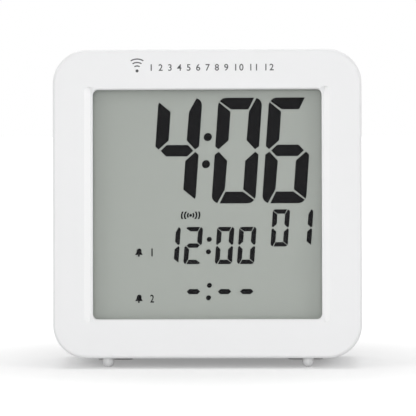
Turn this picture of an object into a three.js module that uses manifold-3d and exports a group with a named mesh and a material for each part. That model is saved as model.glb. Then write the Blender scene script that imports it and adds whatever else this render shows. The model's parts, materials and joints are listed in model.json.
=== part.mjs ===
import * as THREE from 'three';
import { mergeVertices } from 'three/addons/utils/BufferGeometryUtils.js';
import Module from 'manifold-3d';

// A radio-controlled alarm clock: a square case with an LCD window, two front foot pins,
// a snooze and light button on top, and keys, an alarm switch and a battery door behind.
// Lengths are in millimetres. Pieces are laid out with the origin at the middle of the
// face, +X right, +Y from the face to the back and +Z up; the clock then leans back.

// Case
const BODY_WIDTH = 85;
const BODY_HEIGHT = 85;
const BODY_DEPTH = 36;
const CORNER_RADIUS = 9.4;
const FACE_EDGE_RADIUS = 0.8;
const BACK_EDGE_RADIUS = 2;
const WALL = 1.8;
const FACE_THICKNESS = 2.2;
const FRONT_DEPTH = 12;
const LIP_REACH = 1.2;
const LIP_THICKNESS = 1;
const FLANGE_DEPTH = 3;

// Clearances
const FIT = 0.3;
const SLIDE_FIT = 0.35;
const LAYER_FIT = 0.1;
const BITE = 0.4;

// Window and its bevel
const FRAME_SIDE = 10.95;
const FRAME_END = 10.9;
const WINDOW_CORNER = 1.5;
const BEVEL_SIDE = 1.9;
const BEVEL_END = 0.4;
const BEVEL_DEPTH = 0.9;
const BEVEL_LIP = 0.45;
const BEVEL_LIP_DEPTH = 0.6;

// Lens and display layers
const LENS_MARGIN = 1.4;
const LENS_THICKNESS = 1.2;
const LENS_RIB = 1;
const GLASS_MARGIN = 1.3;
const GLASS_THICKNESS = 0.7;
const CONTACT_LEDGE = 2;
const POLARISER_THICKNESS = 0.25;
const POLARISER_MARGIN = 0.8;
const HOLDER_WALL = 1;
const HOLDER_BACK = 1;
const GUIDE_THICKNESS = 2;
const GUIDE_WALL = 1.3;
const ZEBRA_THICKNESS = 1.4;
const ZEBRA_INSET = 2.85;
const LED_WIDTH = 2.2;
const LED_HEIGHT = 3.5;
const LED_DEPTH = 1.9;

// Boards
const BOARD_THICKNESS = 1.2;
const BOARD_END_GAP = 5;
const BOARD_OVERHANG = 2;
const POST_RADIUS = 2.2;
const BOARD_POST_Z = 18;
const CHIP_RADIUS = 7;
const CHIP_HEIGHT = 1.8;
const CHIP_Z = -14;
const CRYSTAL_RADIUS = 1.5;
const CRYSTAL_LENGTH = 8;
const CRYSTAL_X = 17;
const RECEIVER_WIDTH = 18;
const RECEIVER_HEIGHT = 12;
const RECEIVER_THICKNESS = 1;
const RECEIVER_X = -24;
const RECEIVER_Z = 5;

// Screws and the corner bosses of the case
const BOSS_INSET = 6.3;
const BOSS_RADIUS = 2.8;
const REAR_BOSS_RADIUS = 3.4;
const SCREW_RADIUS = 1;
const SCREW_HEAD_RADIUS = 2;
const SCREW_HEAD_HEIGHT = 1.5;
const SCREW_SLOT = 0.6;
const CASE_SCREW_LENGTH = 14;
const CASE_SCREW_SEAT = 20;
const BOARD_SCREW_LENGTH = 6;
const KEY_SCREW_LENGTH = 4.5;

// Ferrite antenna
const ANTENNA_LENGTH = 60;
const ANTENNA_RADIUS = 4;
const ANTENNA_DROP = 8.7;
const ANTENNA_LIFT = 2;
const COIL_LENGTH = 22;
const COIL_THICKNESS = 1.3;
const CLIP_SPAN = 48;
const CLIP_WIDTH = 4;
const CLIP_WALL = 1.3;

// Snooze and light button
const SNOOZE_WIDTH = 40;
const SNOOZE_DEPTH = 11;
const SNOOZE_Y = 24;
const SNOOZE_PROUD = 0.4;
const SNOOZE_FLANGE = 1;
const SNOOZE_BOARD_DROP = 8;
const SNOOZE_BOARD_WIDTH = 48;
const SNOOZE_BOARD_DEPTH = 13;
const RAIL = 1.2;
const RAIL_LIP = 1.2;
const SWITCH_SIZE = 6;
const SWITCH_HEIGHT = 3.6;
const SWITCH_STEM_RADIUS = 1.7;
const SWITCH_STEM_SUNK = 1.6;
const GUIDE_SPAN = 32;
const GUIDE_PIN_RADIUS = 1.1;
const GUIDE_PIN_GAP = 1.5;
const SPRING_RADIUS = 2;
const SPRING_WIRE = 0.25;
const SPRING_TURNS = 5;

// Keys, keypad and key board
const KEY_COUNT = 5;
const KEY_PITCH = 11.5;
const KEY_WIDTH = 8;
const KEY_HEIGHT = 4.6;
const KEY_CORNER = 1.6;
const KEY_PROUD = 0.8;
const KEY_FLANGE = 0.9;
const KEY_DROP = 17;
const DOME_HEIGHT = 1.2;
const DOME_RADIUS = 1.9;
const MAT_THICKNESS = 0.8;
const MAT_WIDTH = 55;
const MAT_HEIGHT = 10;
const KEY_BOARD_WIDTH = 67;
const KEY_BOARD_HEIGHT = 23.5;
const KEY_BOARD_BELOW = 5.5;
const KEY_POST_SPAN = 63;
const KEY_POST_RADIUS = 1.9;

// Alarm slide switch
const SLIDER_X = 19;
const SLIDER_RISE = 12;
const SLIDER_TRAVEL = 3.5;
const SLIDER_WIDTH = 4.5;
const SLIDER_HEIGHT = 3;
const SLIDER_PROUD = 1;
const SLIDER_FLANGE = 0.7;
const SLIDER_STEM = 1.6;
const SLIDER_BODY_WIDTH = 11;
const SLIDER_BODY_HEIGHT = 5;
const SLIDER_BODY_DEPTH = 2.2;
const SLIDER_SLOT_DEPTH = 1.4;

// Buzzer
const BUZZER_X = -16;
const BUZZER_DROP = 8.7;
const BUZZER_RADIUS = 8;
const BUZZER_THICKNESS = 0.4;
const BUZZER_CHAMBER = 0.5;
const BUZZER_RING = 1;
const CERAMIC_RADIUS = 5.5;
const CERAMIC_THICKNESS = 0.3;
const SOUND_HOLE_RADIUS = 0.8;
const SOUND_HOLE_RING = 3.2;
const SOUND_HOLE_COUNT = 6;

// Battery bay, cells, contacts and door
const CELL_RADIUS = 5.25;
const CELL_LENGTH = 44.5;
const CELL_NUB_RADIUS = 1.9;
const CELL_NUB_LENGTH = 0.8;
const CELL_GAP = 0.7;
const BAY_RISE = 22.5;
const BAY_WALL = 1.2;
const CONTACT_THICKNESS = 0.4;
const CONTACT_WIDTH = 8.5;
const CONTACT_DEPTH = 9;
const CONTACT_NUB = 0.6;
const CONTACT_TAIL = 2;
const CONTACT_TAIL_REACH = 1.5;
const CELL_SPRING_LENGTH = 4;
const CELL_SPRING_WIRE = 0.3;
const CELL_SPRING_TURNS = 3.25;
const CELL_SPRING_WIDE = 3.2;
const CELL_SPRING_NARROW = 1.8;
const DOOR_THICKNESS = 1.5;
const DOOR_CLEARANCE = 1.1;
const DOOR_GROOVE = 0.5;
const DOOR_GROOVE_COUNT = 3;
const DOOR_GROOVE_LENGTH = 12;
const DOOR_GROOVE_PITCH = 1.6;
const TAB_SPAN = 30;
const TAB_WIDTH = 6;
const TAB_REACH = 2;
const TAB_THICKNESS = 1;
const TAB_ROOT = 2.5;
const THUMB_WIDTH = 8;
const THUMB_REACH = 1.6;
const THUMB_THICKNESS = 0.9;

// Feet
const PIN_INSET = 14.9;
const PIN_Y = 6;
const PIN_RADIUS = 1.575;
const PIN_DROP = 2.45;
const PIN_FLAT = 0.1;
const PIN_SINK = 4.6;
const SOCKET_WALL = 1.2;
const REAR_FOOT_INSET = 15.5;
const REAR_FOOT_WIDTH = 10;
const REAR_FOOT_DEPTH = 7;
const REAR_FOOT_Y = 29.5;
const REAR_FOOT_DROP = 0.8;
const REAR_FOOT_SINK = 0.6;

// Leads and ribbon
const LEAD_RADIUS = 0.6;
const LEAD_BEND = 1.5;
const LEAD_IN = 4.05;
const POSITIVE_LEAD_DROP = 1.4;
const NEGATIVE_LEAD_RISE = 3.4;
const RIBBON_WIDTH = 8;
const RIBBON_THICKNESS = 0.6;
const RIBBON_X = 12;

// Steps of the round shapes
const CORNER_STEPS = 6;
const EDGE_STEPS = 3;
const KEY_STEPS = 3;
const ROUND_STEPS = 20;
const SMALL_STEPS = 12;
const HOLE_STEPS = 10;
const CURL_STEPS = 8;
const WIRE_SIDES = 5;
const LEAD_SIDES = 8;
const LEAD_STEPS = 10;
const RIBBON_STEPS = 12;

// Places that follow from the sizes
const HALF_WIDTH = BODY_WIDTH / 2;
const HALF_HEIGHT = BODY_HEIGHT / 2;
const WINDOW_WIDTH = BODY_WIDTH - 2 * FRAME_SIDE;
const WINDOW_HEIGHT = BODY_HEIGHT - 2 * FRAME_END;
const PIN_SPAN = BODY_WIDTH - 2 * PIN_INSET;
const REAR_FOOT_SPAN = BODY_WIDTH - 2 * REAR_FOOT_INSET;
const BAY_Z = -HALF_HEIGHT + BAY_RISE;
const BACK_INNER = BODY_DEPTH - WALL;
const SEAM_Y = FRONT_DEPTH + FIT;
const PAST = 1;
const LENS_Y = FACE_THICKNESS + FIT;
const HOLDER_Y = LENS_Y + LENS_THICKNESS + FIT;
const FRONT_GLASS_Y = HOLDER_Y + POLARISER_THICKNESS + LAYER_FIT;
const REAR_GLASS_Y = FRONT_GLASS_Y + GLASS_THICKNESS + LAYER_FIT;
const REFLECTOR_Y = REAR_GLASS_Y + GLASS_THICKNESS + LAYER_FIT;
const GUIDE_Y = REFLECTOR_Y + POLARISER_THICKNESS + FIT;
const HOLDER_FLOOR_Y = GUIDE_Y + GUIDE_THICKNESS + FIT;
const BOARD_Y = HOLDER_FLOOR_Y + HOLDER_BACK + FIT;
const BOARD_BACK_Y = BOARD_Y + BOARD_THICKNESS;
const GLASS_WIDTH = WINDOW_WIDTH + 2 * GLASS_MARGIN;
const REAR_GLASS_HEIGHT = WINDOW_HEIGHT + 2 * GLASS_MARGIN;
const FRONT_GLASS_HEIGHT = REAR_GLASS_HEIGHT + 2 * CONTACT_LEDGE;
const POCKET_WIDTH = GLASS_WIDTH + 2 * FIT;
const POCKET_HEIGHT = FRONT_GLASS_HEIGHT + 2 * FIT;
const HOLDER_WIDTH = POCKET_WIDTH + 2 * HOLDER_WALL;
const HOLDER_HEIGHT = POCKET_HEIGHT + 2 * HOLDER_WALL;
const ZEBRA_LENGTH = GLASS_WIDTH - 2 * ZEBRA_INSET;
const ZEBRA_Z = (REAR_GLASS_HEIGHT + CONTACT_LEDGE) / 2;
const GUIDE_POCKET_WIDTH = POCKET_WIDTH - 2 * GUIDE_WALL;
const GUIDE_POCKET_HEIGHT = WINDOW_HEIGHT + 2 * FIT;
const BOARD_POST_X = HOLDER_WIDTH / 2 + FIT + POST_RADIUS;
const BOARD_WIDTH = 2 * (BOARD_POST_X + BOARD_OVERHANG);
const BOARD_HEIGHT = BODY_HEIGHT - 2 * BOARD_END_GAP;
const BOSS_X = HALF_WIDTH - BOSS_INSET;
const BOSS_Z = HALF_HEIGHT - BOSS_INSET;
const PILOT_RADIUS = SCREW_RADIUS + FIT;
const HEAD_HOLE_RADIUS = SCREW_HEAD_RADIUS + SLIDE_FIT;
const ANTENNA_Y = BOARD_BACK_Y + FIT + ANTENNA_LIFT + ANTENNA_RADIUS;
const COIL_BORE = ANTENNA_RADIUS + FIT;
const TOP_INNER = HALF_HEIGHT - WALL;
const SNOOZE_FLANGE_TOP = TOP_INNER - FIT;
const SNOOZE_FLANGE_LOW = SNOOZE_FLANGE_TOP - SNOOZE_FLANGE;
const SNOOZE_BOARD_TOP = TOP_INNER - SNOOZE_BOARD_DROP;
const ANTENNA_Z = SNOOZE_BOARD_TOP - ANTENNA_DROP;
const BUZZER_Z = SNOOZE_BOARD_TOP - BUZZER_DROP;
const KEY_Z = BUZZER_Z - KEY_DROP;
const SLIDER_Z = KEY_Z + SLIDER_RISE;
const KEY_BOARD_LOW_Z = KEY_Z - KEY_BOARD_BELOW;
const KEY_BOARD_HIGH_Z = KEY_BOARD_LOW_Z + KEY_BOARD_HEIGHT;
const KEY_FLANGE_BACK = BACK_INNER - FIT;
const KEY_FLANGE_FRONT = KEY_FLANGE_BACK - KEY_FLANGE;
const MAT_BACK = KEY_FLANGE_FRONT - FIT - DOME_HEIGHT;
const KEY_BOARD_BACK = MAT_BACK - MAT_THICKNESS - FIT;
const KEY_BOARD_FRONT = KEY_BOARD_BACK - BOARD_THICKNESS;
const KEY_BOARD_Z = (KEY_BOARD_LOW_Z + KEY_BOARD_HIGH_Z) / 2;
const SLIDER_BODY_BACK = KEY_BOARD_BACK + FIT + SLIDER_BODY_DEPTH;
const BUZZER_BACK = BACK_INNER - BUZZER_CHAMBER;
const CELL_SPACING = 2 * CELL_RADIUS + CELL_GAP;
const BAY_HALF_HEIGHT = CELL_SPACING / 2 + CELL_RADIUS + FIT;
const NUB_SIDE = CONTACT_THICKNESS + CONTACT_NUB + 2 * FIT;
const SPRING_SIDE = CONTACT_THICKNESS + CELL_SPRING_LENGTH + 2 * FIT;
const BAY_HALF_WIDTH = (CELL_LENGTH + NUB_SIDE + SPRING_SIDE) / 2;
const CELL_SHIFT = (SPRING_SIDE - NUB_SIDE) / 2;
const DOOR_INNER = BODY_DEPTH - DOOR_THICKNESS;
const CELL_Y = DOOR_INNER - DOOR_CLEARANCE - CELL_RADIUS;
const BAY_FLOOR_BACK = CELL_Y - CELL_RADIUS - FIT;
const BAY_FLOOR_FRONT = BAY_FLOOR_BACK - BAY_WALL;
const CONTACT_X = BAY_HALF_WIDTH - FIT - CONTACT_THICKNESS;
const CONTACT_TAIL_END = BAY_FLOOR_FRONT - CONTACT_TAIL_REACH;
const BAY_LOW = BAY_Z - BAY_HALF_HEIGHT;
const BAY_HIGH = BAY_Z + BAY_HALF_HEIGHT;
const SPRING_LOW = SNOOZE_BOARD_TOP + FIT + SPRING_WIRE;
const SPRING_HIGH = SNOOZE_FLANGE_LOW - FIT - SPRING_WIRE;
const LEAN = Math.atan((PIN_DROP - REAR_FOOT_DROP) / (REAR_FOOT_Y - PIN_Y));

const wasm = await Module();
wasm.setup();

// Returns a solid made from any closed geometry, with its faces turned outwards.
function toSolid(geometry) {
  const bare = geometry.clone();
  bare.deleteAttribute('normal');
  bare.deleteAttribute('uv');
  const merged = mergeVertices(bare, 1e-4);
  const corners = merged.attributes.position;
  const faces = [];
  let volume = 0;
  for (let i = 0; i < merged.index.count; i += 3) {
    const face = [0, 1, 2].map((step) => merged.index.getX(i + step));
    if (new Set(face).size < 3) continue;
    const [a, b, c] = face.map((index) => new THREE.Vector3().fromBufferAttribute(corners, index));
    volume += a.dot(b.cross(c));
    faces.push(face);
  }
  const turned = volume < 0 ? faces.map((face) => face.reverse()) : faces;
  return new wasm.Manifold(new wasm.Mesh({
    numProp: 3,
    vertProperties: new Float32Array(corners.array),
    triVerts: new Uint32Array(turned.flat()),
  }));
}

function toGeometry(solid) {
  const mesh = solid.getMesh();
  const geometry = new THREE.BufferGeometry();
  geometry.setAttribute('position', new THREE.BufferAttribute(mesh.vertProperties, 3));
  geometry.setIndex(new THREE.BufferAttribute(mesh.triVerts, 1));
  geometry.computeVertexNormals();
  return geometry;
}

function point(x, y, z) {
  return new THREE.Vector3(x, y, z);
}

function block([x0, x1], [y0, y1], [z0, z1]) {
  const geometry = new THREE.BoxGeometry(x1 - x0, y1 - y0, z1 - z0);
  return toSolid(geometry.translate((x0 + x1) / 2, (y0 + y1) / 2, (z0 + z1) / 2));
}

// A range of the given width about a middle value.
function about(middle, width) {
  return [middle - width / 2, middle + width / 2];
}

function outlineShape(width, height, radius) {
  const shape = new THREE.Shape();
  const x = width / 2 - radius;
  const z = height / 2 - radius;
  shape.absarc(x, z, radius, 0, Math.PI / 2);
  shape.absarc(-x, z, radius, Math.PI / 2, Math.PI);
  shape.absarc(-x, -z, radius, Math.PI, 1.5 * Math.PI);
  shape.absarc(x, -z, radius, 1.5 * Math.PI, 2 * Math.PI);
  return shape;
}

// A plate with rounded corners that lies in the plane of the face.
function plate(width, height, radius, [y0, y1], x = 0, z = 0, steps = CORNER_STEPS) {
  const shape = outlineShape(width, height, radius);
  const options = { depth: y1 - y0, bevelEnabled: false, curveSegments: steps };
  const geometry = new THREE.ExtrudeGeometry(shape, options);
  return toSolid(geometry.rotateX(Math.PI / 2).translate(x, y1, z));
}

// One ring of points of a rounded rectangle at depth y, counterclockwise from the front.
function ring(width, height, radius, y) {
  const points = [];
  const corners = [[1, 1], [-1, 1], [-1, -1], [1, -1]];
  corners.forEach(([sideX, sideZ], quarter) => {
    for (let step = 0; step <= CORNER_STEPS; step += 1) {
      const angle = (quarter + step / CORNER_STEPS) * Math.PI / 2;
      const x = sideX * (width / 2 - radius) + radius * Math.cos(angle);
      const z = sideZ * (height / 2 - radius) + radius * Math.sin(angle);
      points.push(point(x, y, z));
    }
  });
  return points;
}

// A solid skinned over rings that have the same number of points.
function loft(rings) {
  const count = rings[0].length;
  const indices = [];
  for (let row = 0; row < rings.length - 1; row += 1) {
    for (let i = 0; i < count; i += 1) {
      const here = row * count + i;
      const next = row * count + (i + 1) % count;
      indices.push(here, here + count, next, next, here + count, next + count);
    }
  }
  const last = (rings.length - 1) * count;
  for (let i = 1; i < count - 1; i += 1) {
    indices.push(0, i, i + 1, last, last + i + 1, last + i);
  }
  const geometry = new THREE.BufferGeometry();
  geometry.setFromPoints(rings.flat());
  geometry.setIndex(indices);
  return toSolid(geometry);
}

function bodyRing(inset, y) {
  return ring(BODY_WIDTH - 2 * inset, BODY_HEIGHT - 2 * inset, CORNER_RADIUS - inset, y);
}

// A round piece: its profile gives radius and height along the line from base.
function turned(profile, base, direction, steps = ROUND_STEPS) {
  const points = profile.map(([radius, height]) => new THREE.Vector2(radius, height));
  const geometry = new THREE.LatheGeometry(points, steps);
  const turn = new THREE.Quaternion().setFromUnitVectors(point(0, 1, 0), direction);
  return toSolid(geometry.applyQuaternion(turn).translate(base.x, base.y, base.z));
}

const BACKWARD = point(0, 1, 0);
const FORWARD = point(0, -1, 0);
const RIGHT = point(1, 0, 0);
const UP = point(0, 0, 1);
const DOWN = point(0, 0, -1);

// A plain cylinder along one of the directions above.
function rod(radius, length, base, direction, steps = SMALL_STEPS) {
  return turned([[0, 0], [radius, 0], [radius, length], [0, length]], base, direction, steps);
}

function rodBack(radius, x, z, [y0, y1], steps = SMALL_STEPS) {
  return rod(radius, y1 - y0, point(x, y0, z), BACKWARD, steps);
}

// A round wire along a curve.
function wire(curve, radius, steps, sides) {
  const section = new THREE.Shape().absarc(0, 0, radius, 0, 2 * Math.PI);
  const options = { steps, extrudePath: curve, curveSegments: sides };
  return toSolid(new THREE.ExtrudeGeometry(section, options));
}

// A helix whose radius changes evenly from its first turn to its last.
class Helix extends THREE.Curve {
  constructor(base, direction, length, turns, firstRadius, lastRadius) {
    super();
    this.base = base;
    this.length = length;
    this.turns = turns;
    this.radii = [firstRadius, lastRadius];
    this.turn = new THREE.Quaternion().setFromUnitVectors(point(0, 0, 1), direction);
  }

  getPoint(t) {
    const angle = 2 * Math.PI * this.turns * t;
    const radius = THREE.MathUtils.lerp(this.radii[0], this.radii[1], t);
    const local = point(radius * Math.cos(angle), radius * Math.sin(angle), this.length * t);
    return local.applyQuaternion(this.turn).add(this.base);
  }
}

// Measures the least gap between the turns of a helix of round wire, and prints it.
function printLeastGap(name, helix, wireRadius) {
  const count = Math.round(helix.turns * CURL_STEPS);
  const points = Array.from({ length: count + 1 }, (_, i) => helix.getPoint(i / count));
  let least = Infinity;
  points.forEach((here, i) => {
    points.slice(i + CURL_STEPS / 2).forEach((there) => {
      least = Math.min(least, here.distanceTo(there) - 2 * wireRadius);
    });
  });
  console.log(`${name}: least gap between turns ${least.toFixed(2)} mm`);
}

function coilSpring(name, helix, wireRadius) {
  printLeastGap(name, helix, wireRadius);
  return wire(helix, wireRadius, Math.round(helix.turns * CURL_STEPS), WIRE_SIDES);
}

function join(...solids) {
  return solids.reduce((whole, solid) => whole.add(solid));
}

function cut(solid, ...tools) {
  return tools.reduce((rest, tool) => rest.subtract(tool), solid);
}

const SIDES = [['left', -1], ['right', 1]];
const CORNERS = [
  ['top_left', -1, 1],
  ['top_right', 1, 1],
  ['bottom_left', -1, -1],
  ['bottom_right', 1, -1],
];

const clock = new THREE.Group();

function finish(colour, roughness, metalness = 0, opacity = 1) {
  const transparent = opacity < 1;
  return new THREE.MeshStandardMaterial({ color: colour, roughness, metalness, opacity, transparent });
}

function addPiece(name, solid, material) {
  const mesh = new THREE.Mesh(toGeometry(solid), material);
  mesh.name = name;
  clock.add(mesh);
}

const PEARL = [0xeeeeef, 0.45];
const WHITE_PLASTIC = [0xe9eaec, 0.5];
const NATURAL_PLASTIC = [0xdedfdc, 0.6];
const CLEAR = [0xf4f8f8, 0.05, 0, 0.3];
const GLASS = [0xdfe8e4, 0.05, 0, 0.35];
const FIBREGLASS = [0x2d5a3a, 0.55];
const STEEL = [0xb9bbbd, 0.35, 0.9];
const BLACK_PLASTIC = [0x232427, 0.5];
const SILICONE = [0xc9cac8, 0.75];

// Front case: face with bevelled window, side walls, lens rib, screw bosses, board posts
// and the two sockets that hold the foot pins.
function frontCase() {
  const edge = [];
  for (let step = 0; step <= EDGE_STEPS; step += 1) {
    const angle = step / EDGE_STEPS * Math.PI / 2;
    const inset = FACE_EDGE_RADIUS * (1 - Math.sin(angle));
    edge.push(bodyRing(inset, FACE_EDGE_RADIUS * (1 - Math.cos(angle))));
  }
  const outer = loft([...edge, bodyRing(0, FRONT_DEPTH)]);
  const inner = loft([bodyRing(WALL, FACE_THICKNESS), bodyRing(WALL, FRONT_DEPTH + PAST)]);
  const lipY = BEVEL_DEPTH + BEVEL_LIP_DEPTH;
  const lipGrow = 2 * BEVEL_LIP;
  const outerWidth = WINDOW_WIDTH + lipGrow + 2 * BEVEL_SIDE;
  const outerHeight = WINDOW_HEIGHT + lipGrow + 2 * BEVEL_END;
  const window = loft([
    ring(outerWidth, outerHeight, WINDOW_CORNER, -PAST),
    ring(outerWidth, outerHeight, WINDOW_CORNER, 0),
    ring(WINDOW_WIDTH + lipGrow, WINDOW_HEIGHT + lipGrow, WINDOW_CORNER, BEVEL_DEPTH),
    ring(WINDOW_WIDTH, WINDOW_HEIGHT, WINDOW_CORNER, lipY),
    ring(WINDOW_WIDTH, WINDOW_HEIGHT, WINDOW_CORNER, FACE_THICKNESS + PAST),
  ]);
  const ribDepth = [FACE_THICKNESS - BITE, HOLDER_Y - FIT];
  const lensWidth = WINDOW_WIDTH + 2 * (LENS_MARGIN + FIT);
  const lensHeight = WINDOW_HEIGHT + 2 * (LENS_MARGIN + FIT);
  const rib = cut(
    block(about(0, lensWidth + 2 * LENS_RIB), ribDepth, about(0, lensHeight + 2 * LENS_RIB)),
    block(about(0, lensWidth), [FACE_THICKNESS - PAST, HOLDER_Y], about(0, lensHeight)),
  );
  let shell = join(cut(outer, inner), rib);
  for (const [, sideX, sideZ] of CORNERS) {
    const boss = rodBack(BOSS_RADIUS, sideX * BOSS_X, sideZ * BOSS_Z, [FACE_THICKNESS - BITE, FRONT_DEPTH]);
    const depth = [CASE_SCREW_SEAT - CASE_SCREW_LENGTH - PAST, FRONT_DEPTH + PAST];
    const pilot = rodBack(PILOT_RADIUS, sideX * BOSS_X, sideZ * BOSS_Z, depth, HOLE_STEPS);
    const postX = sideX * BOARD_POST_X;
    const postZ = sideZ * BOARD_POST_Z;
    const post = rodBack(POST_RADIUS, postX, postZ, [FACE_THICKNESS - BITE, BOARD_Y - FIT]);
    const postDepth = [BOARD_BACK_Y - BOARD_SCREW_LENGTH, BOARD_Y];
    const postPilot = rodBack(PILOT_RADIUS, postX, postZ, postDepth, HOLE_STEPS);
    shell = cut(join(shell, boss, post), pilot, postPilot);
  }
  for (const [, side] of SIDES) {
    const x = side * PIN_SPAN / 2;
    const bore = PIN_RADIUS + FIT;
    const floor = -HALF_HEIGHT + WALL - BITE;
    const roof = -HALF_HEIGHT + PIN_SINK + FIT + SOCKET_WALL;
    const socket = rod(bore + SOCKET_WALL, roof - floor, point(x, PIN_Y, floor), UP);
    const hole = rod(bore, PIN_SINK + FIT + PAST, point(x, PIN_Y, -HALF_HEIGHT - PAST), UP, HOLE_STEPS);
    shell = cut(join(shell, socket), hole);
  }
  return cut(shell, window);
}

// Rear case: shell with an inner lip at the seam, long screw bosses, the battery bay, the
// rails of the snooze board, the posts of the key board and the ring of the buzzer.
function rearCase() {
  const edge = [];
  for (let step = 0; step <= EDGE_STEPS; step += 1) {
    const angle = step / EDGE_STEPS * Math.PI / 2;
    const y = BODY_DEPTH - BACK_EDGE_RADIUS * (1 - Math.sin(angle));
    edge.push(bodyRing(BACK_EDGE_RADIUS * (1 - Math.cos(angle)), y));
  }
  const outer = loft([bodyRing(0, SEAM_Y), ...edge]);
  const inner = loft([bodyRing(WALL, SEAM_Y - PAST), bodyRing(WALL, BACK_INNER)]);
  const lipInset = WALL + FIT;
  const innerInset = lipInset + LIP_THICKNESS;
  const lipY = SEAM_Y - FIT - LIP_REACH;
  const flangeBack = SEAM_Y + FLANGE_DEPTH;
  const collar = join(
    loft([bodyRing(lipInset, lipY), bodyRing(lipInset, SEAM_Y + BITE)]),
    loft([bodyRing(WALL - BITE, SEAM_Y), bodyRing(WALL - BITE, flangeBack)]),
  );
  const passage = loft([bodyRing(innerInset, lipY - PAST), bodyRing(innerInset, flangeBack + PAST)]);
  const lip = cut(collar, passage);
  const bossRoom = [];
  const bosses = [];
  const holes = [];
  for (const [, sideX, sideZ] of CORNERS) {
    const x = sideX * BOSS_X;
    const z = sideZ * BOSS_Z;
    bossRoom.push(rodBack(BOSS_RADIUS + FIT, x, z, [lipY - PAST, SEAM_Y]));
    bosses.push(rodBack(REAR_BOSS_RADIUS, x, z, [SEAM_Y, BACK_INNER + BITE], ROUND_STEPS));
    holes.push(rodBack(PILOT_RADIUS, x, z, [SEAM_Y - PAST, CASE_SCREW_SEAT + PAST], HOLE_STEPS));
    holes.push(rodBack(HEAD_HOLE_RADIUS, x, z, [CASE_SCREW_SEAT, BODY_DEPTH + PAST]));
  }
  const shell = join(cut(outer, inner), cut(lip, ...bossRoom), ...bosses);
  const fittings = [batteryBay(), ...snoozeRails(), ...keyPosts(), buzzerRing()];
  const cuts = [snoozeOpening(), ...keyOpenings(), sliderSlot(), ...soundHoles(), ...footRecesses()];
  return cut(join(shell, ...fittings), ...holes, ...bayCuts(), ...cuts);
}

function batteryBay() {
  const width = [-BAY_HALF_WIDTH - BAY_WALL, BAY_HALF_WIDTH + BAY_WALL];
  return block(width, [BAY_FLOOR_FRONT, BACK_INNER + BITE], [BAY_LOW - BAY_WALL, BAY_HIGH + BAY_WALL]);
}

// The room for the cells, slots for the contact tails, the hinge tabs and the thumb tab.
function bayCuts() {
  const roomDepth = [BAY_FLOOR_BACK, BODY_DEPTH + PAST];
  const cuts = [block([-BAY_HALF_WIDTH, BAY_HALF_WIDTH], roomDepth, [BAY_LOW, BAY_HIGH])];
  for (const [, x, z] of contactTails()) {
    const width = about(x, CONTACT_THICKNESS + 2 * FIT);
    const height = about(z, CONTACT_TAIL + 2 * FIT);
    cuts.push(block(width, [BAY_FLOOR_FRONT - PAST, BAY_FLOOR_BACK + PAST], height));
  }
  const swing = Math.hypot(BODY_DEPTH - tabDepth()[0], TAB_REACH + SLIDE_FIT);
  const tabRoom = [BODY_DEPTH - swing - SLIDE_FIT, BACK_INNER];
  for (const [, side] of SIDES) {
    const width = about(side * TAB_SPAN / 2, TAB_WIDTH + 2 * SLIDE_FIT);
    cuts.push(block(width, tabRoom, [BAY_LOW - TAB_REACH - PAST, BAY_LOW + PAST]));
  }
  const thumbRoom = [BAY_HIGH - PAST, BAY_HIGH + THUMB_REACH + SLIDE_FIT];
  cuts.push(block(about(0, THUMB_WIDTH + 2 * SLIDE_FIT), [DOOR_INNER - FIT, BODY_DEPTH + PAST], thumbRoom));
  return cuts;
}

function snoozeOpening() {
  const depth = about(SNOOZE_Y, SNOOZE_DEPTH + 2 * SLIDE_FIT);
  return block(about(0, SNOOZE_WIDTH + 2 * SLIDE_FIT), depth, [TOP_INNER - PAST, HALF_HEIGHT + PAST]);
}

// Two channels that stand on the back wall and hold the ends of the snooze board.
function snoozeRails() {
  return SIDES.map(([, side]) => {
    const boardEnd = SNOOZE_BOARD_WIDTH / 2;
    const low = SNOOZE_BOARD_TOP - BOARD_THICKNESS - FIT;
    const high = SNOOZE_BOARD_TOP + FIT;
    const span = [boardEnd - RAIL_LIP, boardEnd + FIT + RAIL];
    const room = [0, boardEnd + FIT];
    const depth = [SNOOZE_Y - SNOOZE_BOARD_DEPTH / 2, BACK_INNER + BITE];
    const place = ([x0, x1]) => (side > 0 ? [x0, x1] : [-x1, -x0]);
    const channel = block(place(span), depth, [low - RAIL, high + RAIL]);
    const boardRoom = [depth[0] - PAST, SNOOZE_Y + SNOOZE_BOARD_DEPTH / 2 + FIT];
    return cut(channel, block(place(room), boardRoom, [low, high]));
  });
}

function keyPlaces() {
  const middle = (KEY_COUNT - 1) / 2;
  return Array.from({ length: KEY_COUNT }, (_, i) => (i - middle) * KEY_PITCH);
}

function keyOpenings() {
  const width = KEY_WIDTH + 2 * SLIDE_FIT;
  const height = KEY_HEIGHT + 2 * SLIDE_FIT;
  const depth = [BACK_INNER - PAST, BODY_DEPTH + PAST];
  return keyPlaces().map((x) => plate(width, height, KEY_CORNER, depth, x, KEY_Z, KEY_STEPS));
}

function keyPosts() {
  return SIDES.map(([, side]) => {
    const x = side * KEY_POST_SPAN / 2;
    const post = rodBack(KEY_POST_RADIUS, x, KEY_BOARD_Z, [KEY_BOARD_BACK + FIT, BACK_INNER + BITE]);
    return cut(post, keyPilot(x));
  });
}

function keyPilot(x) {
  return rodBack(PILOT_RADIUS, x, KEY_BOARD_Z, [KEY_BOARD_FRONT - PAST, BACK_INNER], HOLE_STEPS);
}

function sliderSlot() {
  const left = SLIDER_X - SLIDER_WIDTH / 2 - SLIDE_FIT;
  const width = [left, left + SLIDER_WIDTH + SLIDER_TRAVEL + 2 * SLIDE_FIT];
  const height = about(SLIDER_Z, SLIDER_HEIGHT + 2 * SLIDE_FIT);
  return block(width, [BACK_INNER - PAST, BODY_DEPTH + PAST], height);
}

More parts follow.
